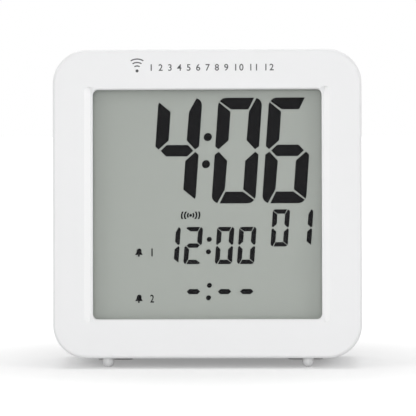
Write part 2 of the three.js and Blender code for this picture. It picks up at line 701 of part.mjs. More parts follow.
function buzzerRing() {
  const bore = BUZZER_RADIUS + FIT;
  const front = BUZZER_BACK - BUZZER_THICKNESS;
  const outer = rodBack(bore + BUZZER_RING, BUZZER_X, BUZZER_Z, [front, BACK_INNER + BITE], ROUND_STEPS);
  return cut(outer, rodBack(bore, BUZZER_X, BUZZER_Z, [front - PAST, BACK_INNER], ROUND_STEPS));
}

function soundHoles() {
  const depth = [BACK_INNER - PAST, BODY_DEPTH + PAST];
  const holes = [rodBack(SOUND_HOLE_RADIUS, BUZZER_X, BUZZER_Z, depth, HOLE_STEPS)];
  for (let i = 0; i < SOUND_HOLE_COUNT; i += 1) {
    const angle = 2 * Math.PI * i / SOUND_HOLE_COUNT;
    const x = BUZZER_X + SOUND_HOLE_RING * Math.cos(angle);
    const z = BUZZER_Z + SOUND_HOLE_RING * Math.sin(angle);
    holes.push(rodBack(SOUND_HOLE_RADIUS, x, z, depth, HOLE_STEPS));
  }
  return holes;
}

function footRecesses() {
  return SIDES.map(([, side]) => {
    const width = about(side * REAR_FOOT_SPAN / 2, REAR_FOOT_WIDTH + 2 * FIT);
    const depth = about(REAR_FOOT_Y, REAR_FOOT_DEPTH + 2 * FIT);
    return block(width, depth, [-HALF_HEIGHT - PAST, -HALF_HEIGHT + REAR_FOOT_SINK + FIT]);
  });
}

addPiece('front_case', frontCase(), finish(...PEARL));
addPiece('rear_case', rearCase(), finish(...WHITE_PLASTIC));

// Window lens and the layers of the display, from the front to the back.
function layer(margin, thickness, y, height = WINDOW_HEIGHT + 2 * margin) {
  const width = WINDOW_WIDTH + 2 * margin;
  return block(about(0, width), [y, y + thickness], about(0, height));
}

addPiece('window_lens', layer(LENS_MARGIN, LENS_THICKNESS, LENS_Y), finish(...CLEAR));
const frontFilm = layer(POLARISER_MARGIN, POLARISER_THICKNESS, HOLDER_Y);
addPiece('lcd_front_polariser', frontFilm, finish(0x9aa39b, 0.3, 0, 0.4));
const frontGlass = layer(GLASS_MARGIN, GLASS_THICKNESS, FRONT_GLASS_Y, FRONT_GLASS_HEIGHT);
addPiece('lcd_front_glass', frontGlass, finish(...GLASS));
addPiece('lcd_rear_glass', layer(GLASS_MARGIN, GLASS_THICKNESS, REAR_GLASS_Y), finish(...GLASS));
addPiece('lcd_reflector', layer(POLARISER_MARGIN, POLARISER_THICKNESS, REFLECTOR_Y), finish(0xa1a8a0, 0.4));

// Holder: a tray for the display, with a deeper pocket for the light guide and slots for
// the contact strips. Its corners are cut away round the screw bosses.
function lcdHolder() {
  const trayDepth = [HOLDER_Y, HOLDER_FLOOR_Y + HOLDER_BACK];
  const tray = block(about(0, HOLDER_WIDTH), trayDepth, about(0, HOLDER_HEIGHT));
  const guideFront = GUIDE_Y - FIT;
  const cuts = [
    block(about(0, POCKET_WIDTH), [HOLDER_Y - PAST, guideFront], about(0, POCKET_HEIGHT)),
    block(about(0, GUIDE_POCKET_WIDTH), [HOLDER_Y, HOLDER_FLOOR_Y], about(0, GUIDE_POCKET_HEIGHT)),
  ];
  for (const side of [-1, 1]) {
    const slot = about(side * ZEBRA_Z, ZEBRA_THICKNESS + 2 * FIT);
    cuts.push(block(about(0, ZEBRA_LENGTH + 2 * FIT), [HOLDER_Y, BOARD_Y], slot));
  }
  for (const [, sideX, sideZ] of CORNERS) {
    cuts.push(rodBack(BOSS_RADIUS + FIT, sideX * BOSS_X, sideZ * BOSS_Z, [HOLDER_Y - PAST, BOARD_Y]));
  }
  return cut(tray, ...cuts);
}

addPiece('lcd_holder', lcdHolder(), finish(...NATURAL_PLASTIC));

// Light guide with its lamp in the gap at its left edge.
const guideLeft = -GUIDE_POCKET_WIDTH / 2 + LED_WIDTH + 2 * FIT;
const guideWidth = [guideLeft, GUIDE_POCKET_WIDTH / 2 - FIT];
const guideDepth = [GUIDE_Y, GUIDE_Y + GUIDE_THICKNESS];
addPiece('light_guide', block(guideWidth, guideDepth, about(0, WINDOW_HEIGHT)), finish(...CLEAR));
const ledWidth = [guideLeft - FIT - LED_WIDTH, guideLeft - FIT];
const ledDepth = [HOLDER_FLOOR_Y - FIT - LED_DEPTH, HOLDER_FLOOR_Y - FIT];
addPiece('backlight_led', block(ledWidth, ledDepth, about(0, LED_HEIGHT)), finish(0xf2efe0, 0.35));

// Contact strips of layered rubber between the glass ledges and the main board.
for (const [name, side] of [['top', 1], ['bottom', -1]]) {
  const depth = [FRONT_GLASS_Y + GLASS_THICKNESS + FIT, BOARD_Y - FIT];
  const strip = block(about(0, ZEBRA_LENGTH), depth, about(side * ZEBRA_Z, ZEBRA_THICKNESS));
  addPiece(`zebra_strip_${name}`, strip, finish(0x8f8c92, 0.7));
}

// Main board, notched round the screw bosses, with its screws and its parts.
function mainBoard() {
  const board = block(about(0, BOARD_WIDTH), [BOARD_Y, BOARD_BACK_Y], about(0, BOARD_HEIGHT));
  const cuts = [];
  for (const [, sideX, sideZ] of CORNERS) {
    const depth = [BOARD_Y - PAST, BOARD_BACK_Y + PAST];
    cuts.push(rodBack(BOSS_RADIUS + FIT, sideX * BOSS_X, sideZ * BOSS_Z, depth));
    cuts.push(rodBack(PILOT_RADIUS, sideX * BOARD_POST_X, sideZ * BOARD_POST_Z, depth, HOLE_STEPS));
  }
  return cut(board, ...cuts);
}

addPiece('main_board', mainBoard(), finish(...FIBREGLASS));

// A pan-head screw whose point leads along the direction, with a cross slot in the head.
function screw(seat, direction, length) {
  const height = SCREW_HEAD_HEIGHT;
  const shape = turned([
    [0, -height],
    [SCREW_HEAD_RADIUS * 0.75, -height],
    [SCREW_HEAD_RADIUS, -height / 2],
    [SCREW_HEAD_RADIUS, 0],
    [SCREW_RADIUS, 0],
    [SCREW_RADIUS, length - SCREW_RADIUS],
    [0, length],
  ], seat, direction, SMALL_STEPS);
  const headY = seat.y - direction.y * height;
  const slots = [[SCREW_SLOT, 2 * SCREW_RADIUS], [2 * SCREW_RADIUS, SCREW_SLOT]].map(([width, tall]) => (
    block(about(seat.x, width), about(headY, height), about(seat.z, tall))
  ));
  return cut(shape, ...slots);
}

for (const [corner, sideX, sideZ] of CORNERS) {
  const caseSeat = point(sideX * BOSS_X, CASE_SCREW_SEAT + FIT, sideZ * BOSS_Z);
  addPiece(`case_screw_${corner}`, screw(caseSeat, FORWARD, CASE_SCREW_LENGTH), finish(...STEEL));
}
for (const [corner, sideX, sideZ] of CORNERS) {
  const boardSeat = point(sideX * BOARD_POST_X, BOARD_BACK_Y + FIT, sideZ * BOARD_POST_Z);
  addPiece(`board_screw_${corner}`, screw(boardSeat, FORWARD, BOARD_SCREW_LENGTH), finish(...STEEL));
}

const partsY = BOARD_BACK_Y + FIT;
const blob = turned([
  [0, 0],
  [CHIP_RADIUS, 0],
  [CHIP_RADIUS * 0.85, CHIP_HEIGHT * 0.6],
  [CHIP_RADIUS * 0.5, CHIP_HEIGHT * 0.95],
  [0, CHIP_HEIGHT],
], point(0, partsY, CHIP_Z), BACKWARD);
addPiece('chip_blob', blob, finish(0x17181a, 0.3));
const crystalBase = point(CRYSTAL_X, partsY + CRYSTAL_RADIUS, CHIP_Z - CRYSTAL_LENGTH / 2);
addPiece('clock_crystal', rod(CRYSTAL_RADIUS, CRYSTAL_LENGTH, crystalBase, UP), finish(...STEEL));
const receiverWidth = about(RECEIVER_X, RECEIVER_WIDTH);
const receiverDepth = [partsY, partsY + RECEIVER_THICKNESS];
const receiver = block(receiverWidth, receiverDepth, about(RECEIVER_Z, RECEIVER_HEIGHT));
addPiece('receiver_board', receiver, finish(0x24603f, 0.5));

// Ferrite rod with its winding, snapped into two clips on the main board.
const antennaBase = point(-ANTENNA_LENGTH / 2, ANTENNA_Y, ANTENNA_Z);
const antennaRod = rod(ANTENNA_RADIUS, ANTENNA_LENGTH, antennaBase, RIGHT, ROUND_STEPS);
addPiece('antenna_rod', antennaRod, finish(0x2a2a2c, 0.6));
const winding = turned([
  [COIL_BORE, 0],
  [COIL_BORE + COIL_THICKNESS, 0],
  [COIL_BORE + COIL_THICKNESS, COIL_LENGTH],
  [COIL_BORE, COIL_LENGTH],
  [COIL_BORE, 0],
], point(-COIL_LENGTH / 2, ANTENNA_Y, ANTENNA_Z), RIGHT);
addPiece('antenna_coil', winding, finish(0xa9602c, 0.4, 0.6));
for (const [name, side] of SIDES) {
  const x = side * CLIP_SPAN / 2;
  const width = about(x, CLIP_WIDTH);
  const tall = 2 * (COIL_BORE + CLIP_WALL);
  const holder = block(width, [partsY, ANTENNA_Y + ANTENNA_RADIUS / 2], about(ANTENNA_Z, tall));
  const boreEnd = point(width[0] - PAST, ANTENNA_Y, ANTENNA_Z);
  const bore = rod(COIL_BORE, CLIP_WIDTH + 2 * PAST, boreEnd, RIGHT, ROUND_STEPS);
  addPiece(`antenna_clip_${name}`, cut(holder, bore), finish(...NATURAL_PLASTIC));
}

// Snooze and light button: a bar with a flange under the top wall and two guide pins.
function snoozeButton() {
  const capHeight = [SNOOZE_FLANGE_LOW, HALF_HEIGHT + SNOOZE_PROUD];
  const cap = block(about(0, SNOOZE_WIDTH), about(SNOOZE_Y, SNOOZE_DEPTH), capHeight);
  const grow = 2 * (SLIDE_FIT + SNOOZE_FLANGE);
  const flangeHeight = [SNOOZE_FLANGE_LOW, SNOOZE_FLANGE_TOP];
  const flange = block(about(0, SNOOZE_WIDTH + grow), about(SNOOZE_Y, SNOOZE_DEPTH + grow), flangeHeight);
  const pins = SIDES.map(([, side]) => {
    const length = SNOOZE_FLANGE_LOW + BITE - SNOOZE_BOARD_TOP - GUIDE_PIN_GAP;
    const top = point(side * GUIDE_SPAN / 2, SNOOZE_Y, SNOOZE_FLANGE_LOW + BITE);
    return rod(GUIDE_PIN_RADIUS, length, top, DOWN);
  });
  return join(cap, flange, ...pins);
}

addPiece('snooze_button', snoozeButton(), finish(...WHITE_PLASTIC));
const snoozeBoardDepth = about(SNOOZE_Y, SNOOZE_BOARD_DEPTH);
const snoozeBoardHeight = [SNOOZE_BOARD_TOP - BOARD_THICKNESS, SNOOZE_BOARD_TOP];
const snoozeBoard = block(about(0, SNOOZE_BOARD_WIDTH), snoozeBoardDepth, snoozeBoardHeight);
addPiece('snooze_board', snoozeBoard, finish(...FIBREGLASS));

const switchLow = SNOOZE_BOARD_TOP + FIT;
const switchTop = switchLow + SWITCH_HEIGHT;
const stemLow = switchTop - SWITCH_STEM_SUNK;
const wellBase = point(0, SNOOZE_Y, switchLow + BITE);
const switchWell = rod(SWITCH_STEM_RADIUS + SLIDE_FIT, SWITCH_HEIGHT, wellBase, UP);
const switchBlock = block(about(0, SWITCH_SIZE), about(SNOOZE_Y, SWITCH_SIZE), [switchLow, switchTop]);
addPiece('snooze_switch_body', cut(switchBlock, switchWell), finish(...BLACK_PLASTIC));
const stemLength = SNOOZE_FLANGE_LOW - FIT - stemLow;
const switchStem = rod(SWITCH_STEM_RADIUS, stemLength, point(0, SNOOZE_Y, stemLow), UP);
addPiece('snooze_switch_stem', switchStem, finish(0xd9d5c8, 0.5));
for (const [name, side] of SIDES) {
  const base = point(side * GUIDE_SPAN / 2, SNOOZE_Y, SPRING_LOW);
  const helix = new Helix(base, UP, SPRING_HIGH - SPRING_LOW, SPRING_TURNS, SPRING_RADIUS, SPRING_RADIUS);
  const spring = coilSpring(`snooze_spring_${name}`, helix, SPRING_WIRE);
  addPiece(`snooze_spring_${name}`, spring, finish(...STEEL));
}

// Key board with its screws, the silicone mat with one dome a key, and the five keys.
const keyBoardHeight = [KEY_BOARD_LOW_Z, KEY_BOARD_HIGH_Z];
const keyBoard = block(about(0, KEY_BOARD_WIDTH), [KEY_BOARD_FRONT, KEY_BOARD_BACK], keyBoardHeight);
const keyBoardHoles = SIDES.map(([, side]) => keyPilot(side * KEY_POST_SPAN / 2));
addPiece('key_board', cut(keyBoard, ...keyBoardHoles), finish(...FIBREGLASS));
for (const [name, side] of SIDES) {
  const seat = point(side * KEY_POST_SPAN / 2, KEY_BOARD_FRONT - FIT, KEY_BOARD_Z);
  addPiece(`key_board_screw_${name}`, screw(seat, BACKWARD, KEY_SCREW_LENGTH), finish(...STEEL));
}

function keypadMat() {
  const sheet = block(about(0, MAT_WIDTH), [MAT_BACK - MAT_THICKNESS, MAT_BACK], about(KEY_Z, MAT_HEIGHT));
  const domes = keyPlaces().map((x) => turned([
    [0, -BITE],
    [DOME_RADIUS, -BITE],
    [DOME_RADIUS, 0],
    [DOME_RADIUS * 0.6, DOME_HEIGHT],
    [0, DOME_HEIGHT],
  ], point(x, MAT_BACK, KEY_Z), BACKWARD, SMALL_STEPS));
  return join(sheet, ...domes);
}

addPiece('keypad_mat', keypadMat(), finish(...SILICONE));

function keyCap(x) {
  const grow = 2 * (SLIDE_FIT + KEY_FLANGE);
  const capDepth = [KEY_FLANGE_FRONT, BODY_DEPTH + KEY_PROUD];
  const cap = plate(KEY_WIDTH, KEY_HEIGHT, KEY_CORNER, capDepth, x, KEY_Z, KEY_STEPS);
  const flangeDepth = [KEY_FLANGE_FRONT, KEY_FLANGE_BACK];
  return join(cap, block(about(x, KEY_WIDTH + grow), flangeDepth, about(KEY_Z, KEY_HEIGHT + grow)));
}

keyPlaces().forEach((x, i) => {
  addPiece(`key_${i + 1}`, keyCap(x), finish(...BLACK_PLASTIC));
});

// Alarm slide switch: a body on the key board and a knob that slides in it.
function sliderBody() {
  const middle = SLIDER_X + SLIDER_TRAVEL / 2;
  const depth = [KEY_BOARD_BACK + FIT, SLIDER_BODY_BACK];
  const body = block(about(middle, SLIDER_BODY_WIDTH), depth, about(SLIDER_Z, SLIDER_BODY_HEIGHT));
  const slotWidth = about(middle, SLIDER_TRAVEL + SLIDER_STEM + 2 * SLIDE_FIT);
  const slotDepth = [SLIDER_BODY_BACK - SLIDER_SLOT_DEPTH, SLIDER_BODY_BACK + PAST];
  return cut(body, block(slotWidth, slotDepth, about(SLIDER_Z, SLIDER_STEM + 2 * SLIDE_FIT)));
}

function sliderKnob() {
  const flangeWidth = SLIDER_WIDTH + 2 * (SLIDER_TRAVEL + 2 * SLIDE_FIT);
  const flangeDepth = [KEY_FLANGE_BACK - SLIDER_FLANGE, KEY_FLANGE_BACK];
  const stemFront = SLIDER_BODY_BACK - SLIDER_SLOT_DEPTH + FIT;
  const stemDepth = [stemFront, KEY_FLANGE_BACK];
  const flangeHeight = SLIDER_HEIGHT + 2 * (SLIDE_FIT + SLIDER_FLANGE);
  const capDepth = [KEY_FLANGE_BACK - BITE, BODY_DEPTH + SLIDER_PROUD];
  return join(
    block(about(SLIDER_X, SLIDER_WIDTH), capDepth, about(SLIDER_Z, SLIDER_HEIGHT)),
    block(about(SLIDER_X, flangeWidth), flangeDepth, about(SLIDER_Z, flangeHeight)),
    block(about(SLIDER_X, SLIDER_STEM), stemDepth, about(SLIDER_Z, SLIDER_STEM)),
  );
}

addPiece('alarm_switch_body', sliderBody(), finish(...STEEL));
addPiece('alarm_switch_knob', sliderKnob(), finish(...BLACK_PLASTIC));

// Buzzer: a thin brass disc with a smaller ceramic disc on its front.
const brassDepth = [BUZZER_BACK - BUZZER_THICKNESS, BUZZER_BACK];
const brassDisc = rodBack(BUZZER_RADIUS, BUZZER_X, BUZZER_Z, brassDepth, ROUND_STEPS);
addPiece('buzzer_disc', brassDisc, finish(0xc9a24b, 0.35, 0.9));
const ceramicBack = BUZZER_BACK - BUZZER_THICKNESS - LAYER_FIT;
const ceramicDepth = [ceramicBack - CERAMIC_THICKNESS, ceramicBack];
const ceramicDisc = rodBack(CERAMIC_RADIUS, BUZZER_X, BUZZER_Z, ceramicDepth, ROUND_STEPS);
addPiece('buzzer_ceramic', ceramicDisc, finish(0xe6e2d6, 0.5));

// Two cells, head to tail: the upper one has its nub on the left, the lower one on the right.
const CELLS = [
  { name: 'battery_upper', z: BAY_Z + CELL_SPACING / 2, nub: -1 },
  { name: 'battery_lower', z: BAY_Z - CELL_SPACING / 2, nub: 1 },
];

for (const { name, z, nub } of CELLS) {
  const tailX = -nub * (CELL_LENGTH / 2) + nub * CELL_SHIFT;
  const canLength = CELL_LENGTH - CELL_NUB_LENGTH;
  const rim = CELL_RADIUS - BITE;
  const cell = turned([
    [0, 0],
    [rim, 0],
    [CELL_RADIUS, BITE],
    [CELL_RADIUS, canLength - BITE],
    [rim, canLength],
    [CELL_NUB_RADIUS, canLength],
    [CELL_NUB_RADIUS, CELL_LENGTH],
    [0, CELL_LENGTH],
  ], point(tailX, CELL_Y, z), point(nub, 0, 0));
  addPiece(name, cell, finish(0x3b6e8f, 0.35, 0.4));
}

// Places of the contact tails that pass through the bay floor to the solder joints.
function contactTails() {
  const x = CONTACT_X + CONTACT_THICKNESS / 2;
  return [
    ['negative', x, BAY_Z + CELL_SPACING / 2],
    ['positive', x, BAY_Z - CELL_SPACING / 2],
  ];
}

function contactPlate(side, z, height) {
  const x = side * (CONTACT_X + CONTACT_THICKNESS / 2);
  return block(about(x, CONTACT_THICKNESS), about(CELL_Y, CONTACT_DEPTH), about(z, height));
}

function contactTail(x, z) {
  return block(about(x, CONTACT_THICKNESS), [CONTACT_TAIL_END, CELL_Y], about(z, CONTACT_TAIL));
}

function contactNub(side, z) {
  const base = point(side * (CONTACT_X + BITE / 2), CELL_Y, z);
  return rod(CELL_NUB_RADIUS, CONTACT_NUB + BITE / 2, base, point(-side, 0, 0));
}

function contactSpring(name, side, z) {
  const inward = point(-side, 0, 0);
  const base = point(side * (CONTACT_X + CELL_SPRING_WIRE / 2), CELL_Y, z);
  const length = CELL_SPRING_LENGTH - CELL_SPRING_WIRE / 2;
  const helix = new Helix(base, inward, length, CELL_SPRING_TURNS, CELL_SPRING_WIDE, CELL_SPRING_NARROW);
  return coilSpring(name, helix, CELL_SPRING_WIRE);
}

const [[, negativeX, negativeZ], [, positiveX, positiveZ]] = contactTails();
const negative = join(
  contactPlate(1, negativeZ, CONTACT_WIDTH),
  contactTail(negativeX, negativeZ),
  contactSpring('negative_contact', 1, negativeZ),
);
addPiece('negative_contact', negative, finish(...STEEL));
const positive = join(
  contactPlate(1, positiveZ, CONTACT_WIDTH),
  contactTail(positiveX, positiveZ),
  contactNub(1, positiveZ),
);
addPiece('positive_contact', positive, finish(...STEEL));
const bridge = join(
  contactPlate(-1, BAY_Z, CELL_SPACING + CONTACT_WIDTH),
  contactNub(-1, negativeZ),
  contactSpring('bridge_contact', -1, positiveZ),
);
addPiece('bridge_contact', bridge, finish(...STEEL));

// Battery door: a plate flush with the back, two hinge tabs below and a thumb tab above.
function tabDepth() {
  return [BACK_INNER - FIT - TAB_THICKNESS, BACK_INNER - FIT];
}

function batteryDoor() {
  const half = BAY_HALF_WIDTH - SLIDE_FIT;
  const low = BAY_LOW + SLIDE_FIT;
  const high = BAY_HIGH - SLIDE_FIT;
  const panel = block([-half, half], [DOOR_INNER, BODY_DEPTH], [low, high]);
  const tabs = SIDES.map(([, side]) => {
    const width = about(side * TAB_SPAN / 2, TAB_WIDTH);
    const [front, back] = tabDepth();
    const root = block(width, [front, DOOR_INNER + BITE], [low, low + TAB_ROOT]);
    return join(root, block(width, [front, back], [BAY_LOW - TAB_REACH, low + BITE]));
  });
  const thumbDepth = [BODY_DEPTH - THUMB_THICKNESS, BODY_DEPTH];
  const thumb = block(about(0, THUMB_WIDTH), thumbDepth, [high - BITE, BAY_HIGH + THUMB_REACH]);
  const grooves = Array.from({ length: DOOR_GROOVE_COUNT }, (_, i) => {
    const z = high - (i + 1) * DOOR_GROOVE_PITCH;
    const depth = [BODY_DEPTH - DOOR_GROOVE, BODY_DEPTH + PAST];
    return block(about(0, DOOR_GROOVE_LENGTH), depth, about(z, DOOR_GROOVE));
  });
  return cut(join(panel, ...tabs, thumb), ...grooves);
}

addPiece('battery_door', batteryDoor(), finish(...WHITE_PLASTIC));

// The plane that the clock stands on, as a block below it that trims the feet.
function floorBlock() {
  const reach = 2 * BODY_DEPTH;
  const size = 2 * BODY_HEIGHT;
  const geometry = new THREE.BoxGeometry(2 * BODY_WIDTH, size, reach);
  geometry.translate(0, 0, -reach / 2).rotateX(LEAN);
  return toSolid(geometry.translate(0, PIN_Y, -HALF_HEIGHT - PIN_DROP));
}

for (const [name, side] of SIDES) {
  const top = -HALF_HEIGHT + PIN_SINK;
  const length = PIN_SINK + PIN_DROP + PIN_FLAT;
  const profile = [[0, 0], [PIN_RADIUS, 0]];
  for (let step = 0; step <= EDGE_STEPS; step += 1) {
    const angle = step / EDGE_STEPS * Math.PI / 2;
    profile.push([PIN_RADIUS * Math.cos(angle), length - PIN_RADIUS + PIN_RADIUS * Math.sin(angle)]);
  }
  const pin = turned(profile, point(side * PIN_SPAN / 2, PIN_Y, top), DOWN, SMALL_STEPS);
  addPiece(`foot_pin_${name}`, cut(pin, floorBlock()), finish(0xd2d3d4, 0.4));
}
for (const [name, side] of SIDES) {
  const height = [-HALF_HEIGHT - PIN_DROP, -HALF_HEIGHT + REAR_FOOT_SINK];
  const depth = about(REAR_FOOT_Y, REAR_FOOT_DEPTH);
  const pad = block(about(side * REAR_FOOT_SPAN / 2, REAR_FOOT_WIDTH), depth, height);
  addPiece(`rear_foot_${name}`, cut(pad, floorBlock()), finish(0x3a3b3d, 0.85));
}

// Battery leads from the contact tails to the main board, and the ribbon of the key board.
const leadEnds = [
  { name: 'positive_lead', start: [positiveX, positiveZ], rise: -POSITIVE_LEAD_DROP, colour: 0xa52a24 },
  { name: 'negative_lead', start: [negativeX, negativeZ], rise: NEGATIVE_LEAD_RISE, colour: 0x202022 },
];
for (const { name, start, rise, colour } of leadEnds) {
  const end = [start[0] - LEAD_IN, start[1] + rise];
  const startY = CONTACT_TAIL_END - FIT;
  const route = new THREE.CatmullRomCurve3([
    point(start[0], startY, start[1]),
    point(start[0], startY - LEAD_BEND, start[1]),
    point((start[0] + end[0]) / 2, (startY + partsY) / 2, (start[1] + end[1]) / 2),
    point(end[0], partsY + LEAD_BEND, end[1]),
    point(end[0], partsY, end[1]),
  ]);
  addPiece(name, wire(route, LEAD_RADIUS, LEAD_STEPS, LEAD_SIDES), finish(colour, 0.5));
}

function ribbonCable() {
  const start = new THREE.Vector2(KEY_BOARD_FRONT - FIT, KEY_BOARD_LOW_Z + RIBBON_WIDTH);
  const end = new THREE.Vector2(partsY, KEY_BOARD_LOW_Z);
  const reach = (start.x - end.x) / 2;
  const route = new THREE.CubicBezierCurve(
    start,
    new THREE.Vector2(start.x - reach, start.y),
    new THREE.Vector2(end.x + reach, end.y),
    end,
  );
  const upper = [];
  const lower = [];
  for (let step = 0; step <= RIBBON_STEPS; step += 1) {
    const here = route.getPoint(step / RIBBON_STEPS);
    const along = route.getTangent(step / RIBBON_STEPS);
    const across = new THREE.Vector2(-along.y, along.x).multiplyScalar(RIBBON_THICKNESS / 2);
    upper.push(here.clone().add(across));
    lower.unshift(here.clone().sub(across));
  }
  const shape = new THREE.Shape([...upper, ...lower]);
  const geometry = new THREE.ExtrudeGeometry(shape, { depth: RIBBON_WIDTH, bevelEnabled: false });
  const turn = new THREE.Matrix4().makeBasis(point(0, 1, 0), point(0, 0, 1), point(1, 0, 0));
  return toSolid(geometry.applyMatrix4(turn).translate(RIBBON_X - RIBBON_WIDTH / 2, 0, 0));
}

addPiece('key_ribbon', ribbonCable(), finish(0x9fa3a6, 0.5));

// The clock leans back on its feet. Its origin is the middle of its base.
clock.rotation.x = -LEAN;
const part = new THREE.Group();
part.add(clock);
part.updateMatrixWorld(true);
const bounds = new THREE.Box3().setFromObject(part, true);
const middle = bounds.getCenter(new THREE.Vector3());
clock.position.set(-middle.x, -middle.y, -bounds.min.z);

export default part;
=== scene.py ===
import json
import math
from collections import namedtuple

import bmesh
import bpy
from mathutils import Matrix, Quaternion, Vector
from mathutils.geometry import interpolate_bezier


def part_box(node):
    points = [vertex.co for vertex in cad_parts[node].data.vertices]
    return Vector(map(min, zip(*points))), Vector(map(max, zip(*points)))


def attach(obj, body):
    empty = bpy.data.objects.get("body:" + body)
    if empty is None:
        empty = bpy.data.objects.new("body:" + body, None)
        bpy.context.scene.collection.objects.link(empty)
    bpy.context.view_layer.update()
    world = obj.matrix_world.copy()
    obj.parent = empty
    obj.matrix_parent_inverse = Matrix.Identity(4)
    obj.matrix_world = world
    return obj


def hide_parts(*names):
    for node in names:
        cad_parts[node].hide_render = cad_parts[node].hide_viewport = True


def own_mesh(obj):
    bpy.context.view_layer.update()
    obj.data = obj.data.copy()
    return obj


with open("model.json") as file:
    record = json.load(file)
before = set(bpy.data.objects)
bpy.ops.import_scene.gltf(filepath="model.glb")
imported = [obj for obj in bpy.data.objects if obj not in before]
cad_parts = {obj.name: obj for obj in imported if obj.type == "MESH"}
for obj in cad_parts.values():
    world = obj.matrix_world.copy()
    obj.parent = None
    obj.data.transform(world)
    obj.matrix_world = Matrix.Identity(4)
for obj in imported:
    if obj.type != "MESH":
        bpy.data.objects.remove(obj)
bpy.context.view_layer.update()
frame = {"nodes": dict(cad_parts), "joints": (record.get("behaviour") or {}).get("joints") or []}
nodes = frame["nodes"]

# The clock's own axes. The pieces are laid out in millimetres from the middle of the face,
# +X right, +Y to the back, +Z up, and leant back with the case. The lean is read from the
# snooze bar's line of travel, and the middle of the face from the window lens.
LENS_MIDDLE_Y = 3.1
joints = {joint["name"]: joint for joint in frame["joints"]}
sink = Vector(joints["snooze_press"]["axis"])
tilt = Matrix.Rotation(-math.atan2(-sink.y, -sink.z), 4, "X")
lens_low, lens_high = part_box("window_lens")
face_middle = (lens_low + lens_high) / 2 - tilt @ Vector((0, LENS_MIDDLE_Y / 1000, 0))
CLOCK = Matrix.Translation(face_middle) @ tilt @ Matrix.Scale(0.001, 4)
into_clock = CLOCK.inverted()
RIGHT, BACKWARD, UP = Vector((1, 0, 0)), Vector((0, 1, 0)), Vector((0, 0, 1))
FORWARD, DOWN = -BACKWARD, -UP

# Camera: a long lens a little above the face and to its right, with the clock's slight
# turn in the frame. AIM is where it looks, in the clock's own millimetres.
CAMERA_DISTANCE = 0.8
CAMERA_RISE, CAMERA_SWING, CAMERA_ROLL = math.radians(2.6), math.radians(1.8), math.radians(0.25)
FRAME_PIXELS, CASE_PIXELS = 416, 309.4
CASE_WIDTH = 85.0
AIM = Vector((0.26, 0, -1.2))


def added(name, data):
    made = bpy.data.objects.new(name, data)
    bpy.context.scene.collection.objects.link(made)
    return made


lens = bpy.data.cameras.new("camera")
camera = added("camera", lens)
bpy.context.scene.camera = camera
level = math.cos(CAMERA_RISE)
sight = Vector((math.sin(CAMERA_SWING) * level, -math.cos(CAMERA_SWING) * level, math.sin(CAMERA_RISE)))
camera.location = CLOCK @ AIM + sight * CAMERA_DISTANCE
turn = (-sight).to_track_quat("-Z", "Y")
camera.rotation_euler = (turn @ Quaternion((0, 0, 1), -CAMERA_ROLL)).to_euler()
focal_pixels = CASE_PIXELS * CAMERA_DISTANCE * 1000 / CASE_WIDTH
lens.lens = lens.sensor_width * focal_pixels / FRAME_PIXELS

# World: plain white to the camera, in reflections and through what is clear, and a softer
# white as light on the clock.
WORLD_LIGHT = 0.4
WHITE = (1, 1, 1, 1)


def wire(tree, made, wires):
    """Joins or sets a node's inputs by name."""
    for socket, source in wires.items():
        for one in source if isinstance(source, list) else [source]:
            if isinstance(one, bpy.types.NodeSocket):
                tree.links.new(one, made.inputs[socket])
            else:
                made.inputs[socket].default_value = one


def node(tree, kind, wires, out=0, **settings):
    """Adds a node with its options and inputs, and gives one of its outputs."""
    made = tree.nodes.new(kind)
    for option, value in settings.items():
        setattr(made, option, value)
    wire(tree, made, wires)
    return made.outputs[out]


def maths(tree, operation, first, second=0.0):
    return node(tree, "ShaderNodeMath", {0: first, 1: second}, operation=operation)


world = bpy.data.worlds.new("studio")
bpy.context.scene.world = world
world.use_nodes = True
tree = world.node_tree
rays = tree.nodes.new("ShaderNodeLightPath").outputs
seen = rays["Is Camera Ray"]
for ray in ("Is Glossy Ray", "Is Transmission Ray"):
    seen = maths(tree, "MAXIMUM", seen, rays[ray])
strength = node(tree, "ShaderNodeMapRange", {"Value": seen, "To Min": WORLD_LIGHT})
wire(tree, tree.nodes["Background"], {"Strength": strength, "Color": WHITE})

# Floor: a wide pale sheet. It keeps the clock's soft shadow near it, and its camera-only glow is weaker in a
# small round patch under the clock, painted shade that deepens that shadow. Further off it turns to plain
# white for the camera, so that it meets the background without an edge.
FLOOR_HALF = 3.0
FLOOR_SHADE, FLOOR_GLOW = 0.78, 0.28
GLOW_START, GLOW_END = 0.03, 0.2


def new_paint(name, inputs):
    """A material, its node tree and its shader, with the inputs given."""
    paint = bpy.data.materials.new(name)
    paint.use_nodes = True
    shader = paint.node_tree.nodes["Principled BSDF"]
    wire(paint.node_tree, shader, inputs)
    return paint, paint.node_tree, shader


floor_mesh = bpy.data.meshes.new("floor")
corners = [(x * FLOOR_HALF, y * FLOOR_HALF, 0) for x, y in [(-1, -1), (1, -1), (1, 1), (-1, 1)]]
floor_mesh.from_pydata(corners, [], [(0, 1, 2, 3)])
matt = {"Roughness": 1.0, "Specular IOR Level": 0.0, "Emission Color": WHITE}
paper, tree, shader = new_paint("floor_paper", {"Base Color": (*[FLOOR_SHADE] * 3, 1), **matt})
where = node(tree, "ShaderNodeTexCoord", {}, "Object")
reach = node(tree, "ShaderNodeVectorMath", {0: where}, "Value", operation="LENGTH")
# The glow rises with distance from the spot under the clock; the weak glow near it is painted shade round
# the clock.
ends = {"Value": reach, "From Min": GLOW_START, "From Max": GLOW_END, "To Min": FLOOR_GLOW}
glow_past_painted_shade = node(tree, "ShaderNodeMapRange", ends, interpolation_type="SMOOTHSTEP")
seen = node(tree, "ShaderNodeLightPath", {}, "Is Camera Ray")
wire(tree, shader, {"Emission Strength": maths(tree, "MULTIPLY", glow_past_painted_shade, seen)})
floor_mesh.materials.append(paper)
added("floor", floor_mesh)

